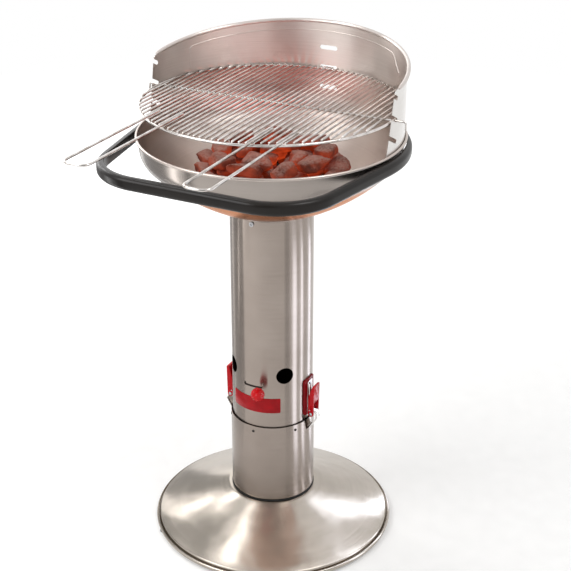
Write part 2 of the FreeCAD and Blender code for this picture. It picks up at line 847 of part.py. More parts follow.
def coalGrate():
    low = dishTopZ(grateR) + grateGap
    plate = pillar(grateR, low, low + grateThick)
    inside = pillar(grateR - grateRimWidth, low, low + grateThick)
    gap = grateBarPitch - grateBarWidth
    count = int((grateR - grateRimWidth) / grateBarPitch)
    slots = []
    for k in range(-count, count):
        x = k * grateBarPitch + grateBarWidth / 2
        for y in (-grateR, grateBarWidth / 2):
            box = Part.makeBox(gap, grateR - grateBarWidth / 2, grateThick, Vector(x, y, low))
            slots.append(box.common(inside))
    return plate.cut(slots)


def charcoal():
    """Lumps in layers on the grate, each one flat on what is below."""
    floor = dishTopZ(grateR) + grateGap + grateThick
    lump = Part.makeBox(coalLength, coalWidth, coalHeight, Vector(-coalLength / 2, -coalWidth / 2, 0))
    lump = lump.makeFillet(coalRound, lump.Edges)
    lumps = []
    for layer, (innermost, rings) in enumerate(coalLayers):
        for k in range(rings):
            radius = innermost + k * (coalWidth + coalGap)
            room = math.atan((coalLength + coalGap) / 2 / (radius - coalWidth / 2))
            for angle in evenly(int(math.pi / room)):
                copy = lump.copy()
                copy.translate(Vector(0, -radius, floor + layer * coalHeight))
                lumps.append(turned(copy, angle))
    return group(lumps)


# Bail handle


def handleMiddleZ():
    return rimZ - handleTopDrop - handleHeight / 2


def handleHugR():
    return wallMiddleR(handleTopDrop) + bowlSheet / 2 + handleGap


def handleBoltSpots():
    return [side * angle for angle in handleBoltAngles for side in (1, -1)]


def handleBoltHoles():
    """Cuts through the bowl's wall and the windshield's skirt."""
    near = skirtInnerR() - cutMargin
    return [spoke(handleBoltR, angle, handleMiddleZ(), near, rimR) for angle in handleBoltSpots()]


def atHandle(x, y):
    return Vector(x, y, handleMiddleZ())


def handleBar():
    """Bar with rounded outer corners, swept round the bowl, along the arms and the front."""
    middle = handleHugR() + handleWidth / 2
    inward = math.radians(handleInward)
    cornerY = handleFront - handleCornerR
    cornerX = (handleHugR() - handleCornerR - math.sin(inward) * cornerY) / math.cos(inward)
    arm = cornerY * math.cos(inward) - cornerX * math.sin(inward)
    half = [("bend", middle, 90 - handleInward - handleEndAngle),
            ("run", arm),
            ("bend", handleCornerR + handleWidth / 2, handleInward - 90),
            ("run", 2 * cornerX)]
    start = radial(handleEndAngle, middle)
    path = pathEdges((start.x, start.y), handleEndAngle - 180, half + half[2::-1], 0, atHandle)
    bar = sweep(path, handleSection())
    cuts = []
    for angle in handleBoltSpots():
        far = handleHugR() + handleWidth
        cuts.append(spoke(handleBoltR, angle, handleMiddleZ(), handleHugR() - cutMargin,
                          far + cutMargin))
        cuts.append(spoke(handleHeadR + handleHeadClearance, angle, handleMiddleZ(),
                          far - handleCounterbore, far + cutMargin))
    return bar.cut(cuts)


def roundedOutline(points, radii):
    """Closed wire through points in one plane with square corners, each corner rounded."""
    edges = []
    last = None
    count = len(points)
    for k, (corner, radius) in enumerate(zip(points, radii)):
        a = (points[k - 1] - corner).normalize() * radius
        b = (points[(k + 1) % count] - corner).normalize() * radius
        middle = corner + a + b - (a + b).normalize() * radius
        if last:
            edges.append(Part.makeLine(last, corner + a))
        else:
            first = corner + a
        edges.append(Part.Arc(corner + a, middle, corner + b).toShape())
        last = corner + b
    edges.append(Part.makeLine(last, first))
    return Part.Wire(edges)


def handleSection():
    """Section of the bar at its first end: small inner and large outer corners."""
    near = handleHugR()
    far = near + handleWidth
    low = handleMiddleZ() - handleHeight / 2
    high = low + handleHeight
    corners = [(near, low), (far, low), (far, high), (near, high)]
    radii = [handleInnerRound, handleOuterRound, handleOuterRound, handleInnerRound]
    return roundedOutline([radial(handleEndAngle, r, z) for r, z in corners], radii)


def handleBolts():
    far = handleHugR() + handleWidth - handleCounterbore
    near = skirtInnerR() - handleNutGap - handleNutThick - stemEnd
    bolts = []
    for angle in handleBoltSpots():
        shank = spoke(handleBoltR, angle, handleMiddleZ(), near, far)
        bolts.append(shank.fuse(spoke(handleHeadR, angle, handleMiddleZ(), far, far + handleHeadThick)))
    return group(bolts)


def skirtInnerR():
    """Inside of the windshield's skirt at the lower edge of the handle's nuts."""
    drop = handleTopDrop + handleHeight / 2 + handleNutR
    return wallMiddleR(drop) - bowlSheet / 2 - shieldGap - shieldSheet


def handleNuts():
    wallR = skirtInnerR() - handleNutGap
    return group([nutInside(handleNutR, handleNutThick, handleBoltR, angle, handleMiddleZ(), wallR)
                  for angle in handleBoltSpots()])


# Windshield


def shieldR():
    """Outside of the windshield above the rim."""
    return rimR - 2 * rimBeadR - shieldGap


def shieldTop(y):
    """Height of the windshield's top line at y."""
    return rimZ + shieldMid + shieldRise * y / (shieldR() + shieldBeadOut)


def shieldSide(low):
    """Side view of the sheet behind its leaning front edge and below its top line."""
    lean = math.tan(math.radians(shieldEdgeLean))
    pitch = shieldRise / (shieldR() + shieldBeadOut)
    frontLow = -shieldFront - (rimZ - low) * lean
    cornerY = (-shieldFront + shieldMid * lean) / (1 - pitch * lean)
    back = 2 * rimR
    corners = [(frontLow, low), (cornerY, shieldTop(cornerY)), (back, shieldTop(back)), (back, low)]
    points = [Vector(-back, y, z) for y, z in corners]
    solid = Part.Face(Part.makePolygon(points + points[:1])).extrude(Vector(2 * back, 0, 0))
    top = [e for e in solid.Edges
           if all(abs(v.Y - cornerY) < 0.01 and v.Z > rimZ for v in e.Vertexes)]
    return solid.makeFillet(shieldCornerR, top)


def levelHeights():
    return [(k - levelCount // 2) * levelPitch for k in range(levelCount)]


def hookSlots():
    """Leaning slots for the grid's hooks, open at the sheet's front edges."""
    slope = math.radians(hookSlotSlope)
    rise = hookSlotHalf - hookWireR - restGap
    slots = []
    for height in levelHeights():
        z = rimZ + gridHeight + rise + height
        box = Part.makeBox(4 * rimR, rimR, 2 * hookSlotHalf, Vector(-2 * rimR, -rimR, -hookSlotHalf))
        end = Part.makeCylinder(hookSlotHalf, 4 * rimR, Vector(-2 * rimR, 0, 0), Vector(1, 0, 0))
        slot = box.fuse(end)
        slot.rotate(origin, Vector(1, 0, 0), -math.degrees(slope))
        slot.translate(Vector(0, hookSlotEnd, z))
        slots.append(slot)
    return slots


def backSlots():
    rise = backSlotHeight / 2 - tongueWireR - restGap
    slots = []
    for height in levelHeights():
        z = rimZ + gridHeight + rise + height
        half = backSlotHalf - backSlotHeight / 2
        slot = Part.makeBox(2 * half, rimR, backSlotHeight, Vector(-half, rimR / 2, z - backSlotHeight / 2))
        ends = [Part.makeCylinder(backSlotHeight / 2, rimR, Vector(x, rimR / 2, z), Vector(0, 1, 0))
                for x in (half, -half)]
        slots.append(slot.fuse(ends))
    return slots


def windshield():
    middle = shieldR() - shieldSheet / 2
    high = rimZ + shieldMid + 2 * shieldRise
    steps = [("run", high - rimZ),
             ("bend", shieldSkirtBendR, -bowlWallTaper),
             ("run", shieldSkirt)]
    sheet = spun(strip((middle, high), -90, steps, shieldSheet, inSection))
    sheet = sheet.common(shieldSide(rimZ - shieldSkirt - 2 * shieldSkirtBendR))
    cuts = hookSlots() + backSlots()
    cuts += handleBoltHoles()
    return sheet.cut(cuts).cut(shieldRollRod(shieldBeadR))


def shieldRollRod(radius):
    """Rod along the windshield's top line."""
    r = shieldR() + shieldBeadOut
    centre = Vector(0, 0, rimZ + shieldMid)
    ellipse = Part.Ellipse(centre + Vector(0, r, shieldRise), centre + Vector(r, 0, 0), centre)
    end = math.radians(shieldBeadEnd)
    line = Part.ArcOfEllipse(ellipse, -end, end).toShape()
    start = line.Vertexes[0].Point
    heading = line.tangentAt(line.FirstParameter)
    return sweep([line], Part.Wire(Part.makeCircle(radius, start, heading)))


def shieldRoll():
    return shieldRollRod(shieldBeadR).cut(shieldRollRod(shieldBeadR - shieldBeadWall))


# Cooking grid


def ringZ():
    return rimZ + gridHeight


def wiresZ():
    return ringZ() + ringWireR + gridWireR - weldSink


def gridRing():
    return Part.makeTorus(gridRingR, ringWireR, Vector(0, 0, ringZ()))


def gridWires():
    count = int(math.sqrt(gridRingR ** 2 - shortestWireHalf ** 2) / gridPitch)
    wires = []
    for k in range(-count, count + 1):
        x = k * gridPitch
        half = math.sqrt(gridRingR ** 2 - x * x)
        wires.append(Part.makeCylinder(gridWireR, 2 * half, Vector(x, -half, wiresZ()), Vector(0, 1, 0)))
    return group(wires)


def crossWires():
    z = wiresZ() - gridWireR - crossWireR + weldSink
    wires = []
    for y in crossWireY:
        half = math.sqrt((gridRingR - ringWireR) ** 2 - y * y) + weldSink
        wires.append(Part.makeCylinder(crossWireR, 2 * half, Vector(-half, y, z), Vector(1, 0, 0)))
    return group(wires)


def gridHook(side):
    """Wire stub from the ring out through a slot, with its end turned down."""
    start = math.sqrt((gridRingR + ringWireR) ** 2 - hookWireY ** 2) - weldSink
    z = ringZ()
    return rod([Vector(side * start, hookWireY, z), Vector(side * hookReach, hookWireY, z),
                Vector(side * hookReach, hookWireY, z - hookLegLength)], hookWireR, hookBendR)


def gridTongue():
    """Loop that stands in the windshield's back slot."""
    start = math.sqrt((gridRingR + ringWireR) ** 2 - tongueHalf ** 2) - weldSink
    z = ringZ()
    return rod([Vector(-tongueHalf, start, z), Vector(-tongueHalf, tongueReach, z),
                Vector(tongueHalf, tongueReach, z), Vector(tongueHalf, start, z)], tongueWireR, tongueBendR)


def gridHandle(side):
    """Hairpin of wire welded on top of two grid wires, reaching out over the front."""
    first, second, reach = handleWires[side]
    tip = rimR + reach
    z = wiresZ() + gridWireR + handleWireR - weldSink
    x0 = first * gridPitch
    x1 = second * gridPitch
    return rod([Vector(x0, -handleWireEnd, z), Vector(x0, -tip, z), Vector(x1, -tip, z),
                Vector(x1, -handleWireEnd, z)], handleWireR, handleWireCornerR)


nodes = {
    "base_disc": baseDisc(),
    "base_ballast": baseBallast(),
    "foot_pads": footPads(),
    "seal_ring": sealRing(),
    "tie_bolts": tieBolts(),
    "tie_nuts": tieNuts(),
    "tie_washers": tieWashers(),
    "lower_tube": lowerTube(),
    "ash_pot": ashPot(),
    "seat_ring": seatRing(),
    "tube_rivets": tubeRivets(),
    "upper_tube": upperTube(),
    "name_plate": namePlate(),
    "damper_rest": damperRest(),
    "neck_screws": neckScrews(),
    "neck_nuts": neckNuts(),
    "air_damper": damperRing(),
    "air_stem": airStem(),
    "air_stem_nut": airStemNut(),
    "air_knob": airKnob(),
    "bowl": bowl(),
    "bowl_collar": bowlCollar(),
    "coal_grate": coalGrate(),
    "charcoal": charcoal(),
    "handle_bar": handleBar(),
    "handle_bolts": handleBolts(),
    "handle_nuts": handleNuts(),
    "windshield": windshield(),
    "shield_roll": shieldRoll(),
    "grid_ring": gridRing(),
    "grid_wires": gridWires(),
    "grid_cross_wire": crossWires(),
    "grid_tongue": gridTongue(),
}
for side, turn in (("right", 0), ("left", 180)):
    nodes["latch_pad_" + side] = turned(latchPad(), turn)
    nodes["latch_bracket_" + side] = turned(latchBracket(), turn)
    nodes["latch_pivot_" + side] = turned(pivotPin(), turn)
    nodes["latch_lever_" + side] = turned(latchLever(), turn)
    nodes["latch_hook_" + side] = turned(latchHook(), turn)
    nodes["latch_hook_pin_" + side] = turned(hookPin(), turn)
    nodes["grid_hook_" + side] = gridHook(1 if side == "right" else -1)
    nodes["grid_handle_" + side] = gridHandle(side)
nodes["latch_rivets"] = group([turned(piece, turn) for turn in (0, 180) for piece in latchRivets()])

for name, shape in nodes.items():
    keep(name, shape)
    box = shape.BoundBox
    print(name, len(shape.Solids), shape.isValid(), round(shape.Volume),
          [round(v, 1) for v in (box.XMin, box.XMax, box.YMin, box.YMax, box.ZMin, box.ZMax)])
print("rim height", round(rimZ, 2))
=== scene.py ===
import json
import math
import random

import bmesh
import bpy
from mathutils import Matrix, Vector, noise

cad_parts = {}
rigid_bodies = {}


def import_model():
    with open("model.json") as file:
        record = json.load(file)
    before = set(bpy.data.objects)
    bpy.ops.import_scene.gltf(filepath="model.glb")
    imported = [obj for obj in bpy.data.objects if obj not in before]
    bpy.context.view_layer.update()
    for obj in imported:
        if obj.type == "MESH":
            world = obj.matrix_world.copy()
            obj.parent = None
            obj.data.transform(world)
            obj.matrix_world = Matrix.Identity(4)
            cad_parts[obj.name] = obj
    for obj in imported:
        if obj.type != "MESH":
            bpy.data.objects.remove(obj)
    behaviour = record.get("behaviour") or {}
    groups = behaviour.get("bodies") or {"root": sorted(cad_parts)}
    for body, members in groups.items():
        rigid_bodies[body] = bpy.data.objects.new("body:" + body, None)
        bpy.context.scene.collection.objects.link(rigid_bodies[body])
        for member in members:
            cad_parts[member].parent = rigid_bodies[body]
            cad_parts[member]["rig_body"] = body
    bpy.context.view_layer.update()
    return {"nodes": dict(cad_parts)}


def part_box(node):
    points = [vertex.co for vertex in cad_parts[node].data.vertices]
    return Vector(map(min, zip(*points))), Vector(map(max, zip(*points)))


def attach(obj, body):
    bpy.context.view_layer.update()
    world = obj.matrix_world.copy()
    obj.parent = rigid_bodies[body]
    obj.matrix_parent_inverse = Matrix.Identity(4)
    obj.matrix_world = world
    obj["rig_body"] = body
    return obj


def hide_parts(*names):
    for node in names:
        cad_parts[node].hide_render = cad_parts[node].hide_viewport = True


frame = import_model()

mm = 0.001
up = Vector((0, 0, 1))


# Materials

def linearColor(hexColor):
    parts = [int(hexColor[k:k + 2], 16) / 255 for k in (1, 3, 5)]
    return [c / 12.92 if c <= 0.04045 else ((c + 0.055) / 1.055) ** 2.4 for c in parts] + [1.0]


def fill(owner, node, **inputs):
    # an input's spaces are written as underscores; its number follows the letter n
    for key, value in inputs.items():
        place = int(key[1:]) if key[0] == "n" and key[1:].isdigit() else key.replace("_", " ")
        if isinstance(value, bpy.types.Node):
            value = value.outputs[0]
        if isinstance(value, bpy.types.NodeSocket):
            owner.node_tree.links.new(value, node.inputs[place])
        else:
            node.inputs[place].default_value = value


def addNode(owner, kind, settings=None, **inputs):
    node = owner.node_tree.nodes.new(kind)
    for key, value in (settings or {}).items():
        if key == "stops":
            while len(node.color_ramp.elements) < len(value):
                node.color_ramp.elements.new(0.5)
            for element, (place, hexColor) in zip(node.color_ramp.elements, value):
                element.position = place
                element.color = linearColor(hexColor)
        else:
            setattr(node, key, value)
    fill(owner, node, **inputs)
    return node


def newMaterial(name):
    # its shader, and the object's own coordinates
    material = bpy.data.materials.new(name)
    material.use_nodes = True
    place = addNode(material, "ShaderNodeTexCoord").outputs["Object"]
    return material, material.node_tree.nodes["Principled BSDF"], place


def aroundTube(material, place):
    # direction round the tube's axis, which the finishing lines follow
    across = addNode(material, "ShaderNodeVectorMath", {"operation": "CROSS_PRODUCT"}, n0=(0, 0, 1), n1=place)
    return addNode(material, "ShaderNodeVectorTransform",
                   {"vector_type": "VECTOR", "convert_from": "OBJECT", "convert_to": "WORLD"}, Vector=across)


def finishingLines(material, place, pitch, spun):
    # noise drawn out round the axis: rings on a spun dish, level lines on an upright wall
    if spun:
        flat = addNode(material, "ShaderNodeVectorMath", {"operation": "MULTIPLY"}, n0=place, n1=(1, 1, 0))
        reach = addNode(material, "ShaderNodeVectorMath", {"operation": "LENGTH"}, n0=flat)
        height = addNode(material, "ShaderNodeSeparateXYZ", Vector=place)
        thin = addNode(material, "ShaderNodeCombineXYZ", X=reach.outputs["Value"], Y=height.outputs["Z"])
        fine = addNode(material, "ShaderNodeVectorMath", {"operation": "SCALE"}, n0=thin, Scale=1 / (pitch * mm))
        wander = addNode(material, "ShaderNodeVectorMath", {"operation": "SCALE"}, n0=place, Scale=5.0)
        lines = addNode(material, "ShaderNodeVectorMath", {"operation": "ADD"}, n0=fine, n1=wander)
    else:
        lines = addNode(material, "ShaderNodeMapping", Vector=place, Scale=(12, 12, 1 / (pitch * mm)))
    return addNode(material, "ShaderNodeTexNoise", Vector=lines, Scale=1.0, Detail=3.0)


def steelSheet(name, look):
    # pitch of the finishing lines and size and depth of the forming waves are in millimetres
    material, shader, place = newMaterial(name)
    lines = finishingLines(material, place, look["pitch"], look["spun"])
    cloud = addNode(material, "ShaderNodeTexNoise", Vector=place, Scale=11.0, Detail=4.0)
    tone = addNode(material, "ShaderNodeMix", {"data_type": "FLOAT"}, Factor=0.4, A=cloud.outputs[0],
                   B=lines.outputs[0])
    color = addNode(material, "ShaderNodeValToRGB", {"stops": [(0.36, look["dark"]), (0.64, look["light"])]},
                    Fac=tone)
    rough = addNode(material, "ShaderNodeMapRange", Value=tone, From_Min=0.3, From_Max=0.7,
                    To_Min=look["roughness"] - look["spread"], To_Max=look["roughness"] + look["spread"])
    across, along, depth = look["waves"]
    stretched = addNode(material, "ShaderNodeMapping", Vector=place,
                        Scale=(1 / (across * mm), 1 / (across * mm), 1 / (along * mm)))
    waves = addNode(material, "ShaderNodeTexNoise", Vector=stretched, Scale=1.0, Detail=1.0)
    wavy = addNode(material, "ShaderNodeBump", Height=waves, Strength=1.0, Distance=depth * mm)
    bump = addNode(material, "ShaderNodeBump", Height=lines, Strength=look["relief"], Distance=0.1 * mm,
                   Normal=wavy)
    fill(material, shader, Base_Color=color, Metallic=1.0, Roughness=rough, Normal=bump,
         Anisotropic=look["stretch"], Anisotropic_Rotation=0.25, Tangent=aroundTube(material, place))
    if "heat" in look:
        # colour that the fire has drawn in a soft ring round the axis
        flat = addNode(material, "ShaderNodeVectorMath", {"operation": "MULTIPLY"}, n0=place, n1=(4, 4, 0))
        reach = addNode(material, "ShaderNodeVectorMath", {"operation": "LENGTH"}, n0=flat)
        uneven = addNode(material, "ShaderNodeMath", {"operation": "MULTIPLY_ADD"}, n0=cloud, n1=0.06,
                         n2=reach.outputs["Value"])
        ring = addNode(material, "ShaderNodeValToRGB", {"stops": look["heat"]}, Fac=uneven)
        tinted = addNode(material, "ShaderNodeMix", {"data_type": "RGBA"}, n0=ring, n6=color.outputs[0],
                         n7=linearColor(look["tint"]))
        edge = addNode(material, "ShaderNodeMix", {"data_type": "RGBA"}, n0=ring, n6=(1, 1, 1, 1),
                       n7=linearColor(look["edge"]))
        fill(material, shader, Base_Color=tinted.outputs[2], Specular_Tint=edge.outputs[2])
    return material


# 430 stainless, roll formed and belt finished round the tube: lamps draw out into upright
# bands, and faint flats from the rolls break them into streaks
tubeSteel = steelSheet("satinStainlessTube", {"light": "#9f948c", "dark": "#91867e", "roughness": 0.23,
                                              "spread": 0.02, "relief": 0.02, "stretch": 0.86,
                                              "pitch": 0.9, "spun": False, "waves": (16, 900, 0.16)})
# 304 stainless, spun and polished: a clear shine that wavers where the tool pressed
baseSteel = steelSheet("polishedStainlessBase", {"light": "#b9b0a6", "dark": "#aaa298", "roughness": 0.24,
                                                 "spread": 0.02, "relief": 0.004, "stretch": 0.0,
                                                 "pitch": 1.4, "spun": True, "waves": (55, 55, 1.5)})
# 430 stainless, spun and satin: pale grey-beige inside, with faint rings
bowlSteel = steelSheet("satinStainlessBowl", {"light": "#cdc2bb", "dark": "#beb3ab", "roughness": 0.34,
                                              "spread": 0.04, "relief": 0.04, "stretch": 0.4,
                                              "pitch": 1.1, "spun": True, "waves": (60, 60, 0.3)})
# the outside keeps the duller skin of the rolled sheet, and heat has coloured it straw and copper
# under the fire; stops are shares of the rim's radius
bowlOutside = steelSheet("dullStainlessBowl", {"light": "#9f9791", "dark": "#918983", "roughness": 0.24,
                                               "spread": 0.03, "relief": 0.02, "stretch": 0.5,
                                               "pitch": 1.1, "spun": True, "waves": (60, 60, 0.3),
                                               "tint": "#cfa38c", "edge": "#e3bba4",
                                               "heat": [(0.44, "#000000"), (0.66, "#ffffff"), (0.87, "#ffffff"),
                                                        (0.96, "#000000")]})
# the same sheet inside the tube, browned by smoke: dull and nearly black
smokedSteel = steelSheet("smokeStainedSteel", {"light": "#48413d", "dark": "#2b2623", "roughness": 0.5,
                                               "spread": 0.06, "relief": 0.05, "stretch": 0.2,
                                               "pitch": 1.1, "spun": False, "waves": (40, 40, 0.1)})
# 430 stainless sheet, rolled and satin: pale, with level lines
shieldSteel = steelSheet("satinStainlessShield", {"light": "#d8d0cb", "dark": "#c8bfb9", "roughness": 0.34,
                                                  "spread": 0.03, "relief": 0.02, "stretch": 0.9,
                                                  "pitch": 0.9, "spun": False, "waves": (40, 500, 0.2)})
# the outer side of that sheet is polished bright
brightSteel = steelSheet("brightStainlessShield", {"light": "#dedbd8", "dark": "#cbc7c3", "roughness": 0.2,
                                                   "spread": 0.03, "relief": 0.01, "stretch": 0.9,
                                                   "pitch": 0.9, "spun": False, "waves": (30, 500, 0.25)})


def chromedWire():
    # nickel and chrome over drawn wire: near mirror, with a little cooking soot
    material, shader, place = newMaterial("chromedWire")
    soot = addNode(material, "ShaderNodeTexNoise", Vector=place, Scale=45.0, Detail=5.0)
    rough = addNode(material, "ShaderNodeMapRange", Value=soot, To_Min=0.22, To_Max=0.08)
    color = addNode(material, "ShaderNodeValToRGB", {"stops": [(0.35, "#b8b1ab"), (0.6, "#dcd8d5")]}, Fac=soot)
    fill(material, shader, Base_Color=color, Metallic=1.0, Roughness=rough)
    return material


def brightZinc():
    # zinc plate on pressed steel: bluish white with a faint crystal pattern
    material, shader, place = newMaterial("brightZinc")
    grain = addNode(material, "ShaderNodeTexVoronoi", Vector=place, Scale=700.0)
    rough = addNode(material, "ShaderNodeMapRange", Value=grain, To_Min=0.14, To_Max=0.3)
    color = addNode(material, "ShaderNodeValToRGB", {"stops": [(0.0, "#c9c9cb"), (0.6, "#a3a3a6")]}, Fac=grain)
    fill(material, shader, Base_Color=color, Metallic=1.0, Roughness=rough)
    return material


def redAbs(name, light, dark, smooth, shine, cells):
    # moulded gloss ABS: clear shine over a deep red, with faint flow marks; cells are small
    # dimples that each catch a lamp
    material, shader, place = newMaterial(name)
    flow = addNode(material, "ShaderNodeTexNoise", Vector=place, Scale=60.0, Detail=3.0)
    pits = addNode(material, "ShaderNodeTexVoronoi", Vector=place, Scale=280.0)
    dimpled = addNode(material, "ShaderNodeBump", Height=pits, Strength=cells, Distance=1.0 * mm)
    bump = addNode(material, "ShaderNodeBump", Height=flow, Strength=0.06, Distance=0.2 * mm, Normal=dimpled)
    rough = addNode(material, "ShaderNodeMapRange", Value=flow, To_Min=smooth, To_Max=smooth + 0.1)
    color = addNode(material, "ShaderNodeValToRGB", {"stops": [(0.3, dark), (0.7, light)]}, Fac=flow)
    fill(material, shader, Base_Color=color, Roughness=rough, IOR=1.5, Normal=bump, Specular_IOR_Level=shine)
    return material


def blackPhenolic():
    # tumbled phenolic moulding: black with a soft satin sheen and a fine pebble
    material, shader, place = newMaterial("blackPhenolic")
    pebble = addNode(material, "ShaderNodeTexNoise", Vector=place, Scale=900.0, Detail=2.0)
    wear = addNode(material, "ShaderNodeTexNoise", Vector=place, Scale=14.0, Detail=4.0)
    rough = addNode(material, "ShaderNodeMapRange", Value=wear, To_Min=0.26, To_Max=0.34)
    bump = addNode(material, "ShaderNodeBump", Height=pebble, Strength=0.1, Distance=0.1 * mm)
    color = addNode(material, "ShaderNodeValToRGB", {"stops": [(0.35, "#100b08"), (0.7, "#1b1511")]}, Fac=wear)
    fill(material, shader, Base_Color=color, Roughness=rough, IOR=1.6, Normal=bump, Specular_IOR_Level=0.2)
    return material


def blackRubber():
    # moulded EPDM: dull black with a dusty bloom
    material, shader, place = newMaterial("blackRubber")
    bloom = addNode(material, "ShaderNodeTexNoise", Vector=place, Scale=120.0, Detail=4.0)
    rough = addNode(material, "ShaderNodeMapRange", Value=bloom, To_Min=0.55, To_Max=0.7)
    color = addNode(material, "ShaderNodeValToRGB", {"stops": [(0.4, "#131313"), (0.75, "#232221")]}, Fac=bloom)
    fill(material, shader, Base_Color=color, Roughness=rough, IOR=1.5, Specular_IOR_Level=0.3)
    return material


def castIron(name, dark, light):
    # grey cast iron: sandy skin with darker hollows
    material, shader, place = newMaterial(name)
    sand = addNode(material, "ShaderNodeTexNoise", Vector=place, Scale=400.0, Detail=6.0)
    bump = addNode(material, "ShaderNodeBump", Height=sand, Strength=0.4, Distance=0.3 * mm)
    color = addNode(material, "ShaderNodeValToRGB", {"stops": [(0.3, dark), (0.7, light)]}, Fac=sand)
    fill(material, shader, Base_Color=color, Metallic=0.6, Roughness=0.6, Normal=bump)
    return material


def burningCharcoal():
    # lumpwood alight: red-brown cracked skin, grey ash on what faces up, orange in the bed's heart
    material, shader, place = newMaterial("burningCharcoal")
    patches = addNode(material, "ShaderNodeTexNoise", Vector=place, Scale=30.0, Detail=4.0)
    crust = addNode(material, "ShaderNodeTexNoise", Vector=place, Scale=240.0, Detail=6.0)
    cracks = addNode(material, "ShaderNodeTexVoronoi", {"feature": "DISTANCE_TO_EDGE"}, Vector=place, Scale=80.0)
    skin = addNode(material, "ShaderNodeValToRGB",
                   {"stops": [(0.32, "#5c352d"), (0.44, "#854436"), (0.56, "#a1503c"), (0.7, "#835c53")]},
                   Fac=patches)
    normal = addNode(material, "ShaderNodeNewGeometry").outputs["Normal"]
    facing = addNode(material, "ShaderNodeSeparateXYZ", Vector=normal)
    dusted = addNode(material, "ShaderNodeMath", {"operation": "MULTIPLY"}, n0=facing.outputs["Z"],
                     n1=crust.outputs[0])
    cover = addNode(material, "ShaderNodeMapRange", Value=dusted, From_Min=0.18, From_Max=0.58, To_Max=0.64)
    color = addNode(material, "ShaderNodeMix", {"data_type": "RGBA"}, n0=cover, n6=skin, n7=linearColor("#b89c91"))
    reach = addNode(material, "ShaderNodeVectorMath", {"operation": "LENGTH"},
                    n0=addNode(material, "ShaderNodeMapping", Vector=place, Location=(0, -0.01, -0.775)))
    heart = addNode(material, "ShaderNodeMapRange", Value=reach.outputs["Value"], From_Min=0.03, From_Max=0.15,
                    To_Min=1.0, To_Max=0.12)
    heat = addNode(material, "ShaderNodeMapRange", Value=patches, From_Min=0.4, From_Max=0.66,
                   To_Min=0.08, To_Max=0.54)
    hot = addNode(material, "ShaderNodeMath", {"operation": "MULTIPLY"}, n0=heat, n1=heart)
    shaded = addNode(material, "ShaderNodeMapRange", Value=facing.outputs["Z"], From_Min=-0.1, From_Max=0.75,
                     To_Min=1.0, To_Max=0.15)
    glow = addNode(material, "ShaderNodeMath", {"operation": "MULTIPLY"}, n0=hot, n1=shaded)
    relief = addNode(material, "ShaderNodeMath", {"operation": "MINIMUM"}, n0=cracks, n1=0.12)
    height = addNode(material, "ShaderNodeMath", {"operation": "MULTIPLY_ADD"}, n0=relief, n1=4.0, n2=crust)
    bump = addNode(material, "ShaderNodeBump", Height=height, Strength=0.6, Distance=1.0 * mm)
    fill(material, shader, Base_Color=color.outputs[2], Roughness=0.85, Specular_IOR_Level=0.2, Normal=bump,
         Emission_Color=linearColor("#ff5522"), Emission_Strength=glow)
    return material


chrome = chromedWire()
zinc = brightZinc()
blackened = castIron("phosphatedSteel", "#2a2725", "#45403d")
latchRed = redAbs("glossAbsRed", "#b80a17", "#a00611", 0.14, 0.16, 0.0)
# darker copy of the latch red for the pads: painted shade, since the pads sit in shadow
shadedPadRed = redAbs("shadedPadAbsRed", "#941219", "#7f0b11", 0.2, 0.1, 0.0)
leverRed = redAbs("glossAbsBrightRed", "#d2101e", "#bd0a17", 0.14, 0.16, 0.0)
knobRed = redAbs("polishedAbsRed", "#e30f1c", "#c40812", 0.02, 0.2, 1.0)
phenolic = blackPhenolic()
rubber = blackRubber()
ballastIron = castIron("paintedCastIron", "#101010", "#1f1e1d")
grateIron = castIron("heatStainedIron", "#2b2420", "#4a3d36")
coalSkin = burningCharcoal()
print("materials made")


# Shapes that many pieces share, in millimetres

def radialPoint(angle, distance, z=0.0):
    a = math.radians(angle)
    return Vector((distance * math.sin(a), -distance * math.cos(a), z))


def evenly(count, first=0.0):
    return [first + k * 360.0 / count for k in range(count)]


def pathPoints(start, heading, steps):
    # points along runs and bends; a step is run, length, parts or bend, radius, turn, parts
    x, y = start
    a = math.radians(heading)
    points = [(x, y)]
    for kind, *values in steps:
        if kind == "run":
            length, parts = values
            for k in range(parts):
                x += length / parts * math.cos(a)
                y += length / parts * math.sin(a)
                points.append((x, y))
            continue
        radius, turn, parts = values
        side = math.copysign(radius, turn)
        cx, cy = x - side * math.sin(a), y + side * math.cos(a)
        for k in range(1, parts + 1):
            b = a + math.radians(turn) * k / parts
            points.append((cx + side * math.sin(b), cy - side * math.cos(b)))
        a += math.radians(turn)
        x, y = points[-1]
    return points


def spinLine(points, segments, angle=360.0, first=0.0, closed=False):
    # surface of a line of radius and height, turned round the tube's axis; first is measured as radialPoint
    bm = bmesh.new()
    verts = [bm.verts.new(radialPoint(first, r, z) * mm) for r, z in points]
    pairs = list(zip(verts, verts[1:])) + ([(verts[-1], verts[0])] if closed else [])
    edges = [bm.edges.new(pair) for pair in pairs]
    full = angle > 359.9
    bmesh.ops.spin(bm, geom=verts + edges, cent=(0, 0, 0), axis=up, angle=math.radians(angle),
                   steps=segments, use_merge=full)
    bmesh.ops.remove_doubles(bm, verts=bm.verts, dist=1e-7)
    if closed and not full:
        bmesh.ops.holes_fill(bm, edges=bm.edges)
    if closed:
        bmesh.ops.recalc_face_normals(bm, faces=bm.faces)
    return bm


def rodAt(radius, near, far, axis, spot=(0, 0, 0), sides=48):
    # cylinder along an axis from near to far of a spot
    bm = bmesh.new()
    bmesh.ops.create_cone(bm, cap_ends=True, segments=sides, radius1=radius * mm, radius2=radius * mm,
                          depth=(far - near) * mm)
    direction = Vector(axis).normalized()
    place = (Vector(spot) + direction * (near + far) / 2) * mm
    turn = direction.to_track_quat("Z", "Y").to_matrix().to_4x4()
    bmesh.ops.transform(bm, matrix=Matrix.Translation(place) @ turn, verts=bm.verts)
    return bm


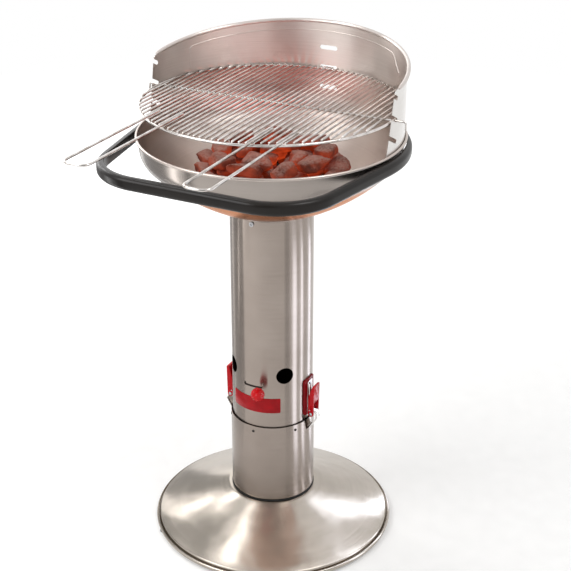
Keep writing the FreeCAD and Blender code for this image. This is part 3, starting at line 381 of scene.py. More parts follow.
def prism(outline, near, far, axis):
    # closed outline of two coordinates, drawn out along the third
    bm = bmesh.new()
    if axis == "x":
        verts = [bm.verts.new(Vector((near, a, b)) * mm) for a, b in outline]
        reach = Vector((far - near, 0, 0)) * mm
    else:
        verts = [bm.verts.new(Vector((a, near, b)) * mm) for a, b in outline]
        reach = Vector((0, far - near, 0)) * mm
    face = bm.faces.new(verts)
    drawn = bmesh.ops.extrude_face_region(bm, geom=[face], use_keep_orig=True)
    moved = [item for item in drawn["geom"] if isinstance(item, bmesh.types.BMVert)]
    bmesh.ops.translate(bm, vec=reach, verts=moved)
    bmesh.ops.recalc_face_normals(bm, faces=bm.faces)
    return bm


def roundedCorners(corners, radii, parts=6):
    # closed outline of two coordinates with each corner rounded
    points = []
    count = len(corners)
    for k, (corner, radius) in enumerate(zip(corners, radii)):
        here = Vector(corner)
        before = (Vector(corners[k - 1]) - here).normalized()
        after = (Vector(corners[(k + 1) % count]) - here).normalized()
        if radius <= 0:
            points.append(tuple(here))
            continue
        half = before.angle(after) / 2
        centre = here + (before + after).normalized() * radius / math.sin(half)
        start = here + before * radius / math.tan(half) - centre
        end = here + after * radius / math.tan(half) - centre
        for j in range(parts + 1):
            spoke = start.lerp(end, j / parts)
            points.append(tuple(centre + spoke.normalized() * radius))
    return points


def roundedWire(corners, bend, parts=8):
    # points in space along straight stretches with each corner rounded
    points = [corners[0]]
    for before, corner, after in zip(corners, corners[1:], corners[2:]):
        a = (before - corner).normalized()
        b = (after - corner).normalized()
        half = a.angle(b) / 2
        centre = corner + (a + b).normalized() * bend / math.sin(half)
        start = corner + a * bend / math.tan(half) - centre
        end = corner + b * bend / math.tan(half) - centre
        for j in range(parts + 1):
            points.append(centre + start.lerp(end, j / parts).normalized() * bend)
    return points + [corners[-1]]


def skinOver(bm, rings):
    # faces between neighbouring rings of points, and one face over each end; gives the end faces
    loops = [[bm.edges.new((ring[j - 1], ring[j])) for j in range(len(ring))] for ring in rings]
    for one, two in zip(loops, loops[1:]):
        bmesh.ops.bridge_loops(bm, edges=one + two)
    caps = [bm.faces.new(rings[0]), bm.faces.new(rings[-1])]
    bmesh.ops.recalc_face_normals(bm, faces=bm.faces)
    return caps


def meshOf(bm):
    mesh = bpy.data.meshes.new("part")
    bm.to_mesh(mesh)
    bm.free()
    return mesh


def joined(parts):
    whole = bmesh.new()
    for part in parts:
        mesh = meshOf(part)
        whole.from_mesh(mesh)
        bpy.data.meshes.remove(mesh)
    return whole


def applied(mesh, modifiers):
    # mesh with modifiers applied; each is a kind and its settings
    holder = bpy.data.objects.new("work", mesh)
    bpy.context.scene.collection.objects.link(holder)
    tools = []
    for kind, settings in modifiers:
        modifier = holder.modifiers.new(kind, kind)
        for key, value in settings.items():
            if isinstance(value, bpy.types.Mesh):
                value = bpy.data.objects.new("tool", value)
                bpy.context.scene.collection.objects.link(value)
                tools.append(value)
            setattr(modifier, key, value)
    bpy.context.view_layer.update()
    depsgraph = bpy.context.evaluated_depsgraph_get()
    result = bpy.data.meshes.new_from_object(holder.evaluated_get(depsgraph))
    for item in tools + [holder]:
        bpy.data.objects.remove(item)
    return result


def wall(thickness, side=0.0):
    return "SOLIDIFY", {"thickness": thickness * mm, "offset": side, "use_even_offset": True}


def cut(tool, operation="DIFFERENCE"):
    return "BOOLEAN", {"object": meshOf(tool), "operation": operation, "solver": "EXACT"}


def softEdge(width, parts=2):
    return "BEVEL", {"width": width * mm, "segments": parts, "limit_method": "ANGLE",
                     "angle_limit": math.radians(35), "profile": 0.5}


def wireMesh(paths, radius, cyclic=False, sides=4):
    # round wire along points in metres, its ends rounded off
    curve = bpy.data.curves.new("wire", "CURVE")
    curve.dimensions = "3D"
    curve.bevel_depth = radius
    curve.bevel_resolution = sides
    curve.use_fill_caps = True
    for points in paths:
        sizes = [1.0] * len(points)
        if not cyclic:
            points = list(points)
            for place, toward in ((0, 1), (-1, -2)):
                tip = points[place]
                inward = (points[toward] - tip).normalized() * radius
                steps = [(0.0, 0.25), (0.08, 0.45), (0.35, 0.78)]
                rounded = [tip + inward * share for share, size in steps]
                if place == 0:
                    points[0:1] = rounded + [tip + inward]
                    sizes[0:1] = [size for share, size in steps] + [1.0]
                else:
                    points[-1:] = [tip + inward] + rounded[::-1]
                    sizes[-1:] = [1.0] + [size for share, size in steps[::-1]]
        spline = curve.splines.new("POLY")
        spline.points.add(len(points) - 1)
        for target, point, size in zip(spline.points, points, sizes):
            target.co = (*point, 1.0)
            target.radius = size
        spline.use_cyclic_u = cyclic
    holder = bpy.data.objects.new("wire", curve)
    bpy.context.scene.collection.objects.link(holder)
    bpy.context.view_layer.update()
    mesh = bpy.data.meshes.new_from_object(holder.evaluated_get(bpy.context.evaluated_depsgraph_get()))
    bpy.data.objects.remove(holder)
    return mesh


def piece(name, mesh, body, material, replaced=(), sharp=35.0):
    item = bpy.data.objects.new(name, mesh)
    bpy.context.scene.collection.objects.link(item)
    mesh.materials.clear()
    mesh.materials.append(material)
    for polygon in mesh.polygons:
        polygon.use_smooth = True
    mesh.set_sharp_from_angle(angle=math.radians(sharp))
    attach(item, body)
    if replaced:
        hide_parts(*replaced)
    return item


def merged(node, flat=True):
    # copy of a CAD mesh with its loose triangles joined and flat faces made whole
    bm = bmesh.new()
    bm.from_mesh(frame["nodes"][node].data)
    bmesh.ops.remove_doubles(bm, verts=bm.verts, dist=1e-6)
    if flat:
        bmesh.ops.dissolve_limit(bm, angle_limit=math.radians(0.4), verts=bm.verts, edges=bm.edges)
    return bm


def refined(node, name, material, edge=0.0, sharp=35.0):
    mesh = meshOf(merged(node))
    if edge:
        mesh = applied(mesh, [softEdge(edge)])
    return piece(name, mesh, frame["nodes"][node]["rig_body"], material, [node], sharp)


def smokeInside(mesh, radius):
    # faces within a radius of the tube's axis get the smoke-stained steel
    mesh.materials.append(smokedSteel)
    for face in mesh.polygons:
        if face.center.xy.length < radius * mm and face.normal.xy.dot(face.center.xy) < 0:
            face.material_index = 1


def onNode(node, material):
    for slot in frame["nodes"][node].material_slots:
        slot.material = material


# Base: spun cover with a rolled rim, on rubber pads, over a ballast disc

baseCover = {"rim": 243.5, "bead": 4.5, "sheet": 1.5, "plateau": 79.5, "slope": 23.4, "shoulder": 12.0,
             "rimBend": 4.0, "hole": 40.0, "flatEnd": 86.9, "lift": 3.5}


def makeBase():
    b = baseCover
    middle = b["plateau"] - b["sheet"] / 2
    wallR = b["rim"] - 2 * b["bead"] + b["sheet"] / 2
    slope = math.radians(b["slope"])
    coneStart = b["flatEnd"] + b["shoulder"] * math.sin(slope)
    coneTop = middle - b["shoulder"] * (1 - math.cos(slope))
    cone = (wallR - b["rimBend"] * (1 - math.sin(slope)) - coneStart) / math.cos(slope)
    wallTop = coneTop - cone * math.sin(slope) - b["rimBend"] * math.cos(slope)
    line = pathPoints((b["hole"], middle), 0,
                      [("run", b["flatEnd"] - b["hole"], 3), ("bend", b["shoulder"], -b["slope"], 5),
                       ("run", cone, 10), ("bend", b["rimBend"], b["slope"] - 90, 6),
                       ("run", wallTop - b["lift"] - b["bead"], 2),
                       ("bend", b["bead"] - b["sheet"] / 2, 250, 20)])
    mesh = applied(meshOf(spinLine(line, 192)), [wall(b["sheet"])])
    piece("baseCover", mesh, "stand", baseSteel, ["base_disc"])
    refined("foot_pads", "footPads", rubber, 0.6)
    refined("base_ballast", "baseBallast", ballastIron, 1.0)
    for node, name in (("tie_bolts", "tieBolts"), ("tie_nuts", "tieNuts"), ("tie_washers", "tieWashers")):
        refined(node, name, zinc, 0.2)


makeBase()
print("base made")


# Lower tube with its foot ring, pot, seat and rivets

lowerTube = {"radius": 83.5, "sheet": 0.8, "low": 82.0, "height": 168.7, "flange": 22.0, "bend": 2.0,
             "slitHalf": 14.5, "slitHeight": 3.4, "slitZ": 230.5, "slitNear": 75.0, "slitFar": 92.0}
footRing = {"outer": 84.5, "inner": 61.5, "low": 79.5, "high": 82.0, "round": 0.9}
seamRivets = {"count": 6, "z": 239.7, "radius": 2.8, "height": 0.95, "shank": 1.6, "inside": 81.1}


def makeLowerTube():
    t = lowerTube
    half = t["sheet"] / 2
    line = pathPoints((t["radius"] - t["flange"], t["low"] + half), 0,
                      [("run", t["flange"] - half - t["bend"], 2), ("bend", t["bend"], 90, 6),
                       ("run", t["height"] - half - t["bend"], 12)])
    slits = []
    low, high = t["slitZ"] - t["slitHeight"] / 2, t["slitZ"] + t["slitHeight"] / 2
    for side in (1, -1):
        near, far = side * t["slitNear"], side * t["slitFar"]
        outline = [(near, low), (far, low), (far, high), (near, high)]
        slits.append(cut(prism(outline, -t["slitHalf"], t["slitHalf"], "y")))
    mesh = applied(meshOf(spinLine(line, 192)), [wall(t["sheet"])] + slits)
    piece("lowerTube", mesh, "stand", tubeSteel, ["lower_tube"])
    smokeInside(mesh, t["radius"] - half)
    f = footRing
    outline = roundedCorners([(f["inner"], f["low"]), (f["outer"], f["low"]), (f["outer"], f["high"]),
                              (f["inner"], f["high"])], [0.0, f["round"], f["round"], 0.0])
    piece("footRing", meshOf(spinLine(outline, 160, closed=True)), "stand", rubber, ["seal_ring"])
    refined("ash_pot", "ashPot", smokedSteel)
    refined("seat_ring", "seatRing", smokedSteel)
    r = seamRivets
    heads = []
    for angle in evenly(r["count"]):
        dome = rodAt(r["radius"], 0, r["height"], radialPoint(angle, 1),
                     radialPoint(angle, t["radius"] - 0.02, r["z"]), 24)
        axis = radialPoint(angle, 1)
        face = max(dome.faces, key=lambda f: f.calc_center_median().dot(axis))
        bmesh.ops.bevel(dome, geom=list(face.edges), offset=0.75 * mm, segments=4, profile=0.5,
                        affect="EDGES", material=-1)
        heads += [dome, rodAt(r["shank"], r["inside"], t["radius"], axis, (0, 0, r["z"]), 20)]
    piece("seamRivets", meshOf(joined(heads)), "stand", blackened, ["tube_rivets"])


makeLowerTube()
print("lower tube made")


# Upper tube with air holes, the knob's slot and the bare plate

upperTube = {"radius": 80.2, "sheet": 0.8, "low": 234.2, "high": 688.0, "hole": 17.2, "holeZ": 365.0,
             "slotZ": 340.0, "slotHalf": 2.2, "slotFirst": -14.2, "slotLast": 12.0, "notch": 3.5}
barePlate = {"near": 80.3, "far": 80.9, "angle": 38.5, "low": 284.0, "high": 316.0, "corner": 2.5}


def makeUpperTube():
    t = upperTube
    middle = t["radius"] - t["sheet"] / 2
    line = pathPoints((middle, t["low"]), 90, [("run", t["high"] - t["low"], 26)])
    near, far = t["radius"] - 10, t["radius"] + 3
    cuts = [cut(rodAt(t["hole"], near, far, radialPoint(angle, 1), (0, 0, t["holeZ"]), 64))
            for angle in evenly(4, 45)]
    low, high = t["slotZ"] - t["slotHalf"], t["slotZ"] + t["slotHalf"]
    band = [(near, low), (far, low), (far, high), (near, high)]
    cuts.append(cut(spinLine(band, 14, t["slotLast"] - t["slotFirst"], t["slotFirst"], True)))
    # round ends, set a hair inside the straight cuts so that no edges coincide
    for angle, z in ((t["slotFirst"] + 0.05, t["slotZ"]), (t["slotLast"] - 0.05, t["slotZ"]),
                     (t["slotFirst"], t["slotZ"] + t["notch"] - 0.05)):
        cuts.append(cut(rodAt(t["slotHalf"] - 0.01, near, far, radialPoint(angle, 1), (0, 0, z), 32)))
    half = math.degrees(t["slotHalf"] / t["radius"])
    rise = [(near, t["slotZ"]), (far, t["slotZ"]), (far, t["slotZ"] + t["notch"]), (near, t["slotZ"] + t["notch"])]
    cuts.append(cut(spinLine(rise, 3, 2 * half, t["slotFirst"] - half, True)))
    # half a segment's turn keeps the mesh's columns off the air holes' top and bottom points
    mesh = applied(meshOf(spinLine(line, 192, first=180 / 192)), [wall(t["sheet"])] + cuts)
    piece("upperTube", mesh, "stand", tubeSteel, ["upper_tube"])
    smokeInside(mesh, t["radius"] - t["sheet"] / 2)
    p = barePlate
    sheet = spinLine([((p["near"] + p["far"]) / 2, p["low"]), ((p["near"] + p["far"]) / 2, p["high"])],
                     48, 2 * p["angle"], -p["angle"])
    reach = p["far"] * math.sin(math.radians(p["angle"]))
    outline = roundedCorners([(-reach, p["low"]), (reach, p["low"]), (reach, p["high"]), (-reach, p["high"])],
                             [p["corner"]] * 4)
    mesh = applied(meshOf(sheet), [wall(p["far"] - p["near"]), cut(prism(outline, -95, -40, "y"), "INTERSECT")])
    mesh = applied(mesh, [softEdge(0.15)])
    piece("barePlate", mesh, "stand", latchRed, ["name_plate"])
    refined("damper_rest", "damperRest", smokedSteel)
    refined("air_damper", "airDamper", smokedSteel)
    refined("air_stem", "airStem", chrome, 0.15)
    refined("air_stem_nut", "airStemNut", zinc, 0.2)
    refined("air_knob", "airKnob", knobRed, sharp=14.0)
    refined("neck_screws", "neckScrews", zinc, 0.2)
    refined("neck_nuts", "neckNuts", zinc, 0.2)


makeUpperTube()
print("upper tube made")


# Toggle latches at both sides

def makeLatches():
    for side in ("right", "left"):
        for node, name, material, slot, edge in (("latch_pad_", "latchPad", shadedPadRed, "red_plastic", 0.8),
                                                 ("latch_bracket_", "latchBracket", chrome, "chrome", 0.2),
                                                 ("latch_pivot_", "latchPivot", zinc, "steel", 0.2),
                                                 ("latch_lever_", "latchLever", leverRed, "red_plastic", 0.5),
                                                 ("latch_hook_", "latchHook", chrome, "chrome", 0.25),
                                                 ("latch_hook_pin_", "latchHookPin", zinc, "steel", 0.2)):
            refined(node + side, name + side.capitalize(), material, edge)
    refined("latch_rivets", "latchRivets", zinc, 0.3)


makeLatches()
print("latches made")


# Spun bowl with a rolled rim, on a flanged collar that stands in the tube

bowl = {"rim": 250.0, "bead": 2.6, "roll": 250.0, "sheet": 1.0, "drop": 27.0, "taper": 6.0, "corner": 40.0,
        "dishTop": 45.0, "dishEnd": 20.0, "collar": 79.1, "collarBend": 3.0, "rimZ": 837.87}


def makeBowl():
    b = bowl
    lean = math.radians(b["taper"])
    steep, flat = math.radians(b["dishTop"]), math.radians(b["dishEnd"])
    rollR = b["bead"] - b["sheet"] / 2
    startR = b["rim"] - b["bead"] - rollR * math.cos(lean)
    startZ = -b["bead"] + rollR * math.sin(lean)
    wallRun = (b["drop"] + startZ) / math.cos(lean)
    dishR = startR - wallRun * math.sin(lean) - b["corner"] * (math.cos(lean) - math.sin(steep))
    endR = b["collar"] - b["sheet"] / 2 + b["collarBend"] * (1 - math.sin(flat)) - b["sheet"] * math.sin(flat)
    radius = (dishR - endR) / (math.sin(steep) - math.sin(flat))
    first = math.radians(180 - b["roll"])
    start = (b["rim"] - b["bead"] + rollR * math.cos(first), b["rimZ"] - b["bead"] + rollR * math.sin(first))
    line = pathPoints(start, 270 - b["roll"],
                      [("bend", rollR, b["roll"] - b["taper"], 16), ("run", wallRun, 3),
                       ("bend", b["corner"], b["taper"] + b["dishTop"] - 90, 10),
                       ("bend", radius, b["dishEnd"] - b["dishTop"], 16)])
    mesh = applied(meshOf(spinLine(line, 224)), [wall(b["sheet"])])
    piece("bowl", mesh, "stand", bowlSteel, ["bowl"])
    # below the rolled rim the outer side has its own skin
    mesh.materials.append(bowlOutside)
    for face in mesh.polygons:
        if face.center.z < (b["rimZ"] - 2 * b["bead"]) * mm and face.normal.xy.dot(face.center.xy) > 0:
            face.material_index = 1
    refined("bowl_collar", "bowlCollar", bowlSteel)


makeBowl()
print("bowl made")


# Burning charcoal: lumps over the places of the CAD blocks, the upper ones spread outwards

lumps = {"seed": 5, "long": (25.0, 43.0), "wide": (16.0, 23.0), "high": (12.0, 16.5), "square": 0.8,
         "swell": 5.0, "grain": 1.7, "yaw": 42.0, "tilt": 12.0, "low": 755.0, "spread": 1.2,
         "lowLong": (19.0, 23.0), "lowYaw": 0.2, "breaks": 11, "breakAt": (0.62, 0.9)}


def blockCentres(node):
    # middle of each separate solid of a CAD node, in metres
    whole = merged(node, False)
    seen = set()
    centres = []
    for vert in whole.verts:
        if vert in seen:
            continue
        group, stack = [], [vert]
        seen.add(vert)
        while stack:
            here = stack.pop()
            group.append(here.co.copy())
            for edge in here.link_edges:
                other = edge.other_vert(here)
                if other not in seen:
                    seen.add(other)
                    stack.append(other)
        ends = [[pick(p[k] for p in group) for k in range(3)] for pick in (min, max)]
        centres.append((Vector(ends[0]) + Vector(ends[1])) / 2)
    whole.free()
    return sorted(centres, key=lambda c: (round(c.z, 4), round(c.x, 4), round(c.y, 4)))


def makeCharcoal():
    c = lumps
    onNode("coal_grate", grateIron)
    rng = random.Random(c["seed"])
    whole = bmesh.new()
    for centre in blockCentres("charcoal"):
        upper = centre.z > c["low"] * mm
        if upper:
            centre = Vector((centre.x * c["spread"], centre.y * c["spread"], centre.z))
        sizes = [rng.uniform(*c["long"] if upper else c["lowLong"]), rng.uniform(*c["wide"]),
                 rng.uniform(*c["high"])]
        shift = Vector([rng.uniform(-50, 50) for k in range(3)])
        sway = rng.uniform(-c["yaw"], c["yaw"]) * (1 if upper else c["lowYaw"])
        yaw = math.atan2(centre.x, -centre.y) + math.radians(sway)
        turn = Matrix.Rotation(yaw, 3, "Z")
        tilt = Matrix.Rotation(math.radians(rng.uniform(-c["tilt"], c["tilt"])), 3,
                               (rng.uniform(-1, 1), rng.uniform(-1, 1), 0.1))
        # flat breaks cut a lump's roundness away
        breaks = [(Vector([rng.gauss(0, 1) for k in range(3)]).normalized(), rng.uniform(*c["breakAt"]))
                  for k in range(c["breaks"])]
        for vert in bmesh.ops.create_icosphere(whole, subdivisions=3, radius=1.0)["verts"]:
            d = vert.co.normalized()
            reach = min([1.0] + [depth / d.dot(normal) for normal, depth in breaks if d.dot(normal) > depth])
            p = Vector([math.copysign(abs(d[k]) ** c["square"], d[k]) * reach * sizes[k] for k in range(3)])
            swell = noise.noise(p / 21 + shift) * c["swell"] + noise.noise(p / 6 + shift) * c["grain"]
            vert.co = centre + turn @ (tilt @ (p + d * swell)) * mm
    piece("burningLumps", meshOf(whole), "stand", coalSkin, ["charcoal"], 80.0)


makeCharcoal()
print("charcoal made")


# Bail handle round the front of the bowl

bail = {"height": 24.0, "width": 13.8, "front": 298.1, "corner": 105.4, "inward": 9.9,
        "end": 122.0, "outerRound": 8.5, "innerRound": 1.5, "hug": 249.0,
        "thinFrom": 88.0, "thinEnd": 2.5, "lowEnd": 0.45}


def makeBail():
    b = bail
    low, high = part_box("handle_bar")
    middleZ = (low.z + high.z) / 2 / mm
    middle = b["hug"] + b["width"] / 2
    inward = math.radians(b["inward"])
    cornerY = b["front"] - b["corner"]
    cornerX = (b["hug"] - b["corner"] - math.sin(inward) * cornerY) / math.cos(inward)
    arm = cornerY * math.cos(inward) - cornerX * math.sin(inward)
    half = [("bend", middle, 90 - b["inward"] - b["end"], 14), ("run", arm, 3),
            ("bend", b["corner"] + b["width"] / 2, b["inward"] - 90, 26), ("run", 2 * cornerX, 5)]
    start = radialPoint(b["end"], middle)
    path = pathPoints((start.x, start.y), b["end"] - 180, half + half[2::-1])
    corners = [(-b["width"] / 2, -b["height"] / 2), (b["width"] / 2, -b["height"] / 2),
               (b["width"] / 2, b["height"] / 2), (-b["width"] / 2, b["height"] / 2)]
    section = roundedCorners(corners, [b["innerRound"], b["outerRound"], b["outerRound"], b["innerRound"]], 7)
    bm = bmesh.new()
    rings = []
    for k, (x, y) in enumerate(path):
        ahead = Vector(path[min(k + 1, len(path) - 1)])
        behind = Vector(path[max(k - 1, 0)])
        heading = (ahead - behind).normalized()
        outward = Vector((-heading.y, heading.x, 0))
        spot = Vector((x, y, middleZ))
        # towards its ends the bar thins out along the bowl, and its lower edge rises
        along = abs(math.degrees(math.atan2(x, -y)))
        share = max(0.0, (along - b["thinFrom"]) / (b["end"] - b["thinFrom"])) ** 2
        thin = 1 - share * (1 - b["thinEnd"] / b["width"])
        flat = 1 - share * b["lowEnd"]
        ring = []
        for s, h in section:
            side = outward * ((s + b["width"] / 2) * thin - b["width"] / 2)
            rise = up * (b["height"] / 2 - (b["height"] / 2 - h) * flat)
            ring.append(bm.verts.new((spot + side + rise) * mm))
        rings.append(ring)
    rimEdges = [edge for cap in skinOver(bm, rings) for edge in cap.edges]
    bmesh.ops.bevel(bm, geom=rimEdges, offset=0.5 * mm, segments=3, profile=0.5, affect="EDGES", material=-1)
    # black plugs close the bolt recesses flush, so the bar is one smooth skin
    piece("bailHandle", meshOf(bm), "stand", phenolic, ["handle_bar"])
    refined("handle_bolts", "bailBolts", zinc, 0.4)
    refined("handle_nuts", "bailNuts", zinc, 0.2)


makeBail()
print("bail handle made")


# Windshield with its rolled top, hook slots and back slots

shield = {"outer": 244.5, "sheet": 0.8, "skirt": 29.0, "bend": 3.0, "mid": 111.3, "rise": 34.9, "rollR": 3.95,
          "rollOut": 1.9, "rollWall": 0.9, "rollEnd": 88.5, "rollTips": (0.55, 0.8, 0.93, 1.0),
          "rollParts": 120, "rollSides": 20, "bead": 0.8, "front": 30.5, "lean": 11.6, "corner": 11.0,
          "slotHalf": 3.9, "slotSlope": 27.0, "slotEnd": 3.0, "slotRise": 56.2, "backHalf": 18.5,
          "backHeight": 8.6, "backRise": 56.4, "levels": (-39.5, 0.0, 39.5)}


def brightOutside(mesh):
    # faces of the windshield that look outwards show the polished side of the sheet
    mesh.materials.append(brightSteel)
    for face in mesh.polygons:
        if face.normal.xy.dot(face.center.xy) > 0:
            face.material_index = 1


def makeShield():
    s = shield
    rimZ = bowl["rimZ"]
    reach = s["outer"] + s["rollOut"]
    lean = math.tan(math.radians(s["lean"]))
    pitch = s["rise"] / reach
    low = rimZ - s["skirt"] - 2 * s["bend"]
    topY = (-s["front"] + s["mid"] * lean) / (1 - pitch * lean)
    back = 300.0
    high = rimZ + s["mid"] + 60
    line = pathPoints((s["outer"] - s["sheet"] / 2, high), -90,
                      [("run", high - rimZ, 36), ("bend", s["bend"], -bowl["taper"], 3), ("run", s["skirt"], 4)])
    sheet = spinLine(line, 150, 204.0, 78.0)
    corners = [(-s["front"] - (rimZ - low) * lean, low), (topY, rimZ + s["mid"] + pitch * topY),
               (back, rimZ + s["mid"] + pitch * back), (back, low)]
    side = prism(roundedCorners(corners, [0.0, s["corner"], 0.0, 0.0], 8), -300, 300, "x")
    cuts = [cut(side, "INTERSECT")]
    a = math.radians(s["slotSlope"])
    ahead, across = Vector((-math.cos(a), math.sin(a))), Vector((math.sin(a), math.cos(a)))
    for level in s["levels"]:
        centre = Vector((s["slotEnd"], rimZ + s["slotRise"] + level))
        outline = [tuple(centre + ahead * 70 + across * s["slotHalf"] * k) for k in (1, -1)]
        for k in range(13):
            t = math.radians(-90 + 15 * k)
            outline.append(tuple(centre - ahead * s["slotHalf"] * math.cos(t)
                                 + across * s["slotHalf"] * math.sin(t)))
        cuts.append(cut(prism(outline, -280, 280, "x")))
        z = rimZ + s["backRise"] + level
        half, height = s["backHalf"], s["backHeight"] / 2
        outline = roundedCorners([(-half, z - height), (half, z - height), (half, z + height),
                                  (-half, z + height)], [height - 0.01] * 4, 8)
        cuts.append(cut(prism(outline, 200, 280, "y")))
    mesh = applied(meshOf(sheet), [wall(s["sheet"])] + cuts)
    piece("windshield", mesh, "stand", shieldSteel, ["windshield"])
    brightOutside(mesh)
    points = []
    last, sides = s["rollParts"], s["rollSides"]
    for k in range(last + 1):
        t = math.radians(s["rollEnd"]) * (k / (last / 2) - 1)
        z = rimZ + s["mid"] + s["rise"] * math.cos(t)
        points.append(Vector((reach * math.sin(t), reach * math.cos(t), z)) * mm)
    bm = bmesh.new()
    circle = [Vector((math.cos(math.tau * j / sides), math.sin(math.tau * j / sides), 0)) for j in range(sides)]
    rings = []
    for k, point in enumerate(points):
        heading = (points[min(k + 1, last)] - points[max(k - 1, 0)]).normalized()
        turn = heading.to_track_quat("Z", "Y").to_matrix()
        size = s["rollR"] * mm * s["rollTips"][min(k, last - k, len(s["rollTips"]) - 1)]
        rings.append([bm.verts.new(point + turn @ spoke * size) for spoke in circle])
    # the roll's ends are pressed shut
    skinOver(bm, rings)
    mesh = applied(meshOf(bm), [wall(s["rollWall"], -1.0)])
    piece("shieldRoll", mesh, "stand", shieldSteel, ["shield_roll"])
    # pressed bead that runs below the roll on the inner face
    inside = s["outer"] - s["sheet"]
    spots = [(247.5, 65.0), (247.5, 23.0), (247.1, 19.5), (246.2, 17.9)]
    spots += [(245.0 - 3.5 * k, 17.5) for k in range(31)]
    spots += [(138.5, 19.0), (137.0, 25.0), (135.0, 34.0), (132.0, 45.0)]
    points = []
    for angle, drop in spots:
        spot = radialPoint(angle, inside)
        points.append((spot + up * (rimZ + s["mid"] + pitch * spot.y - drop)) * mm)
    piece("shieldBead", wireMesh([points], s["bead"] * mm, sides=2), "stand", shieldSteel,
          sharp=80.0)


makeShield()
print("windshield made")


# Wire cooking grid: ring, long wires, one cross wire, hooks, tongue and two wire handles

grid = {"rise": 54.6, "ring": 239.2, "ringWire": 2.5, "wire": 2.0, "pitch": 11.83, "last": 19, "sink": 0.3,
        "crossWire": 2.2, "hookWire": 2.0, "hookY": 4.0, "hookReach": 262.49, "hookLeg": 17.0, "hookBend": 5.0,
        "tongueHalf": 12.0, "tongueReach": 246.0, "tongueBend": 3.0, "tongueWire": 2.2,
        "handleWire": 2.4, "handleEnd": 152.0, "handleCorner": 15.0,
        "handles": {"right": (7, 11, 457.0), "left": (-12, -8, 451.0)}}


def weldBead(spot, size):
    bm = bmesh.new()
    bmesh.ops.create_uvsphere(bm, u_segments=10, v_segments=6, radius=1.0)
    bmesh.ops.scale(bm, vec=Vector(size) * mm, verts=bm.verts)
    bmesh.ops.translate(bm, vec=Vector(spot) * mm, verts=bm.verts)
    return bm


def onGrid(name, mesh, replaced=()):
    piece(name, mesh, "cooking_grid", chrome, replaced, 80.0)


def makeGrid():
    g = grid
    ringZ = bowl["rimZ"] + g["rise"]
    wiresZ = ringZ + g["ringWire"] + g["wire"] - g["sink"]
    circle = [(g["ring"] + g["ringWire"] * math.cos(math.tau * k / 16),
               ringZ + g["ringWire"] * math.sin(math.tau * k / 16)) for k in range(16)]
    onGrid("gridRing", meshOf(spinLine(circle, 216, closed=True)), ["grid_ring"])
    paths = []
    beads = []
    for k in range(-g["last"], g["last"] + 1):
        x = k * g["pitch"]
        half = math.sqrt(g["ring"] ** 2 - x * x)
        paths.append([Vector((x, -half, wiresZ)) * mm, Vector((x, half, wiresZ)) * mm])
        for y in (-half, half):
            tuck = math.copysign(1.6, y)
            beads.append(weldBead((x, y - tuck, wiresZ - g["wire"] + 0.1), (1.7, 1.5, 0.8)))
        beads.append(weldBead((x, 0, wiresZ - g["wire"]), (2.1, 2.1, 0.7)))
    onGrid("gridWires", wireMesh(paths, g["wire"] * mm), ["grid_wires"])
    onGrid("gridWelds", meshOf(joined(beads)))
    crossZ = wiresZ - g["wire"] - g["crossWire"] + g["sink"]
    reach = g["ring"] - g["ringWire"] + g["sink"]
    ends = [Vector((-reach, 0, crossZ)) * mm, Vector((reach, 0, crossZ)) * mm]
    onGrid("crossWire", wireMesh([ends], g["crossWire"] * mm), ["grid_cross_wire"])
    start = math.sqrt((g["ring"] + g["ringWire"]) ** 2 - g["tongueHalf"] ** 2) - g["sink"]
    half = g["tongueHalf"]
    corners = [Vector((-half, start, ringZ)), Vector((-half, g["tongueReach"], ringZ)),
               Vector((half, g["tongueReach"], ringZ)), Vector((half, start, ringZ))]
    mesh = wireMesh([[p * mm for p in roundedWire(corners, g["tongueBend"])]], g["tongueWire"] * mm)
    onGrid("gridTongue", mesh, ["grid_tongue"])
    for side, sign in (("right", 1), ("left", -1)):
        big = side.capitalize()
        start = math.sqrt((g["ring"] + g["ringWire"]) ** 2 - g["hookY"] ** 2) - g["sink"]
        out = sign * g["hookReach"]
        corners = [Vector((sign * start, g["hookY"], ringZ)), Vector((out, g["hookY"], ringZ)),
                   Vector((out, g["hookY"], ringZ - g["hookLeg"]))]
        mesh = wireMesh([[p * mm for p in roundedWire(corners, g["hookBend"])]], g["hookWire"] * mm)
        onGrid("gridHook" + big, mesh, ["grid_hook_" + side])
        first, second, tip = g["handles"][side]
        z = wiresZ + g["wire"] + g["handleWire"] - g["sink"]
        corners = [Vector((first * g["pitch"], -g["handleEnd"], z)), Vector((first * g["pitch"], -tip, z)),
                   Vector((second * g["pitch"], -tip, z)), Vector((second * g["pitch"], -g["handleEnd"], z))]
        mesh = wireMesh([[p * mm for p in roundedWire(corners, g["handleCorner"], 14)]], g["handleWire"] * mm)
        onGrid("gridHandle" + big, mesh, ["grid_handle_" + side])


makeGrid()
print("cooking grid made")


# Stage, camera and light

